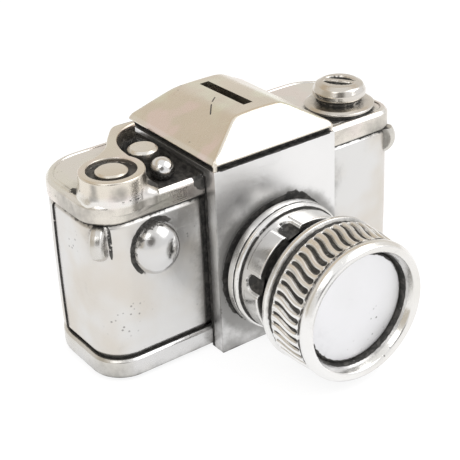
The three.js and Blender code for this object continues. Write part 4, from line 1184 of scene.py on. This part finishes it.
def stopper():
    x, y, reach, low, high = upright("coin_stopper")
    tall = high - low
    outline = [(0, 1.1), (3.0, 1.1, 0.4), (3.4, 0.35, 0.3), (4.6, 0.35, 0.3), (5.0, 1.1, 0.4),
               (reach - 8.2, 1.2, 0.5), (reach - 7, 0, 0.5), (reach - 0.5, 0, 0.4), (reach, 0.7, 0.5),
               (reach - 0.1, 1.6, 0.2), (reach - 3.1, 1.6, 0.3), (reach - 3.3, 3.6, 0.2),
               (reach - 3.0, 4.2, 0.3), (reach - 3.6, tall, 0.4), (reach - 5.6, tall, 0.4),
               (reach - 5.6, 2.6), (0, 2.6)]
    piece = bare("stopper", turned(outline, (x, y, low), segments=128))
    finished(piece, "coin_stopper", rubber, 45, "stopper")


for make in (shells, base, top_plate, controls, rewind, housing, prism, eyepiece, dome):
    make()
lug("strap_lug_left", CORNERS[0], sunk=1.2, aside=1.3, rise=7.2)
lug("strap_lug_right", CORNERS[1], sunk=2.7, aside=0.0, rise=7.0)
for make in (mount_ring, aperture_ring, neck, focus_ring, bezel, screws, stopper):
    make()

for node in ("retaining_ring", "lens_tie_bolt", "bolt_washer", "bolt_nut"):
    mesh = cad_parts[node].data
    mesh.materials.clear()
    mesh.materials.append(steel)


# ---- Floor, light and camera, in metres --------------------------------------------------------
def floor():
    mesh = bpy.data.meshes.new("floor")
    half = 6.0
    square = [(-half, -half, 0), (half, -half, 0), (half, half, 0), (-half, half, 0)]
    mesh.from_pydata(square, [], [(0, 1, 2, 3)])
    material = bpy.data.materials.new("paper_floor")
    material.use_nodes = True
    paper = {"Base_Color": (0.22, 0.22, 0.225, 1), "Roughness": 0.9, "Specular_IOR_Level": 0.1,
             "Emission_Color": (1, 1, 1, 1), "Emission_Strength": 0.87}
    feed(material.node_tree.nodes["Principled BSDF"], **paper)
    mesh.materials.append(material)
    plane = bpy.data.objects.new("floor", mesh)
    bpy.context.scene.collection.objects.link(plane)
    plane.location.z = -0.0002


def glow(way, towards, inner, outer):
    """A round soft patch of the room, seen in the direction towards, with cosines inner and outer."""
    dot = add(way.tree, "VectorMath", {"operation": "DOT_PRODUCT"})
    connect(dot.inputs[0], way)
    connect(dot.inputs[1], Vector(towards).normalized())
    return Value(dot.outputs["Value"]).ramp(outer, inner)


def sky():
    """A room seen in the metal: warm walls behind, white overhead and in front, a dark camera."""
    world = bpy.data.worlds.new("room")
    bpy.context.scene.world = world
    world.use_nodes = True
    way = Value(add(world.node_tree, "TexCoord").outputs["Generated"])
    x, y, z = [Value(axis) for axis in add(way.tree, "SeparateXYZ", Vector=way).outputs]
    wall = z.ramp(0.5, 0.72).mix((0.83, 0.79, 0.735), (0.70, 0.60, 0.475))
    room = y.ramp(0.35, -0.3).mix(wall, (0.98, 0.98, 0.99))
    room = z.ramp(0.78, 0.97).mix(room, (1.0, 1.0, 1.0))
    side = glow(way, (-1.0, 0.1, 0.25), 0.98, 0.8).mix(room, (0.62, 0.57, 0.49))
    seen = glow(way, (-0.5, -0.72, 0.48), 0.985, 0.91).mix(side, (0.22, 0.21, 0.2))
    feed(world.node_tree.nodes["Background"], Color=seen, Strength=1.0)


def softbox(name, place, side, power, target=(0, 0, 0.04)):
    light = bpy.data.lights.new(name, "AREA")
    light.shape = "RECTANGLE"
    light.size = light.size_y = side
    light.energy = power
    lamp = bpy.data.objects.new(name, light)
    lamp.location = place
    lamp.rotation_mode = "QUATERNION"
    lamp.rotation_quaternion = (Vector(target) - Vector(place)).to_track_quat("-Z", "Y")
    bpy.context.scene.collection.objects.link(lamp)


# The camera that fits the photograph: its angles in degrees, its place in metres and its lens.
AZIMUTH, ELEVATION, ROLL = -34.606, 28.853, -2.643
CAMERA_PLACE = (-0.25825, -0.37293, 0.28244)
LENS_LENGTH = 96.61


def camera():
    azimuth, elevation, roll = (math.radians(a) for a in (AZIMUTH, ELEVATION, ROLL))
    level = math.cos(elevation)
    back = np.array([math.sin(azimuth) * level, -math.cos(azimuth) * level, math.sin(elevation)])
    right = np.array([math.cos(azimuth), math.sin(azimuth), 0])
    up = np.cross(back, right)
    across = right * math.cos(roll) + up * math.sin(roll)
    upward = up * math.cos(roll) - right * math.sin(roll)
    data = bpy.data.cameras.new("camera")
    data.sensor_width = 36.0
    data.lens = LENS_LENGTH
    data.clip_start, data.clip_end = 0.01, 50
    holder = bpy.data.objects.new("camera", data)
    turn = Matrix(np.column_stack([across, upward, back]).tolist())
    holder.matrix_world = Matrix.Translation(CAMERA_PLACE) @ turn.to_4x4()
    bpy.context.scene.collection.objects.link(holder)
    bpy.context.scene.camera = holder


floor()
sky()
softbox("front_softbox", (0.75, -0.71, 1.1), 1.1, 6.8)
softbox("left_softbox", (-0.9, -0.5, 1.2), 0.6, 1.7)
camera()
bpy.context.scene.view_settings.view_transform = "Standard"
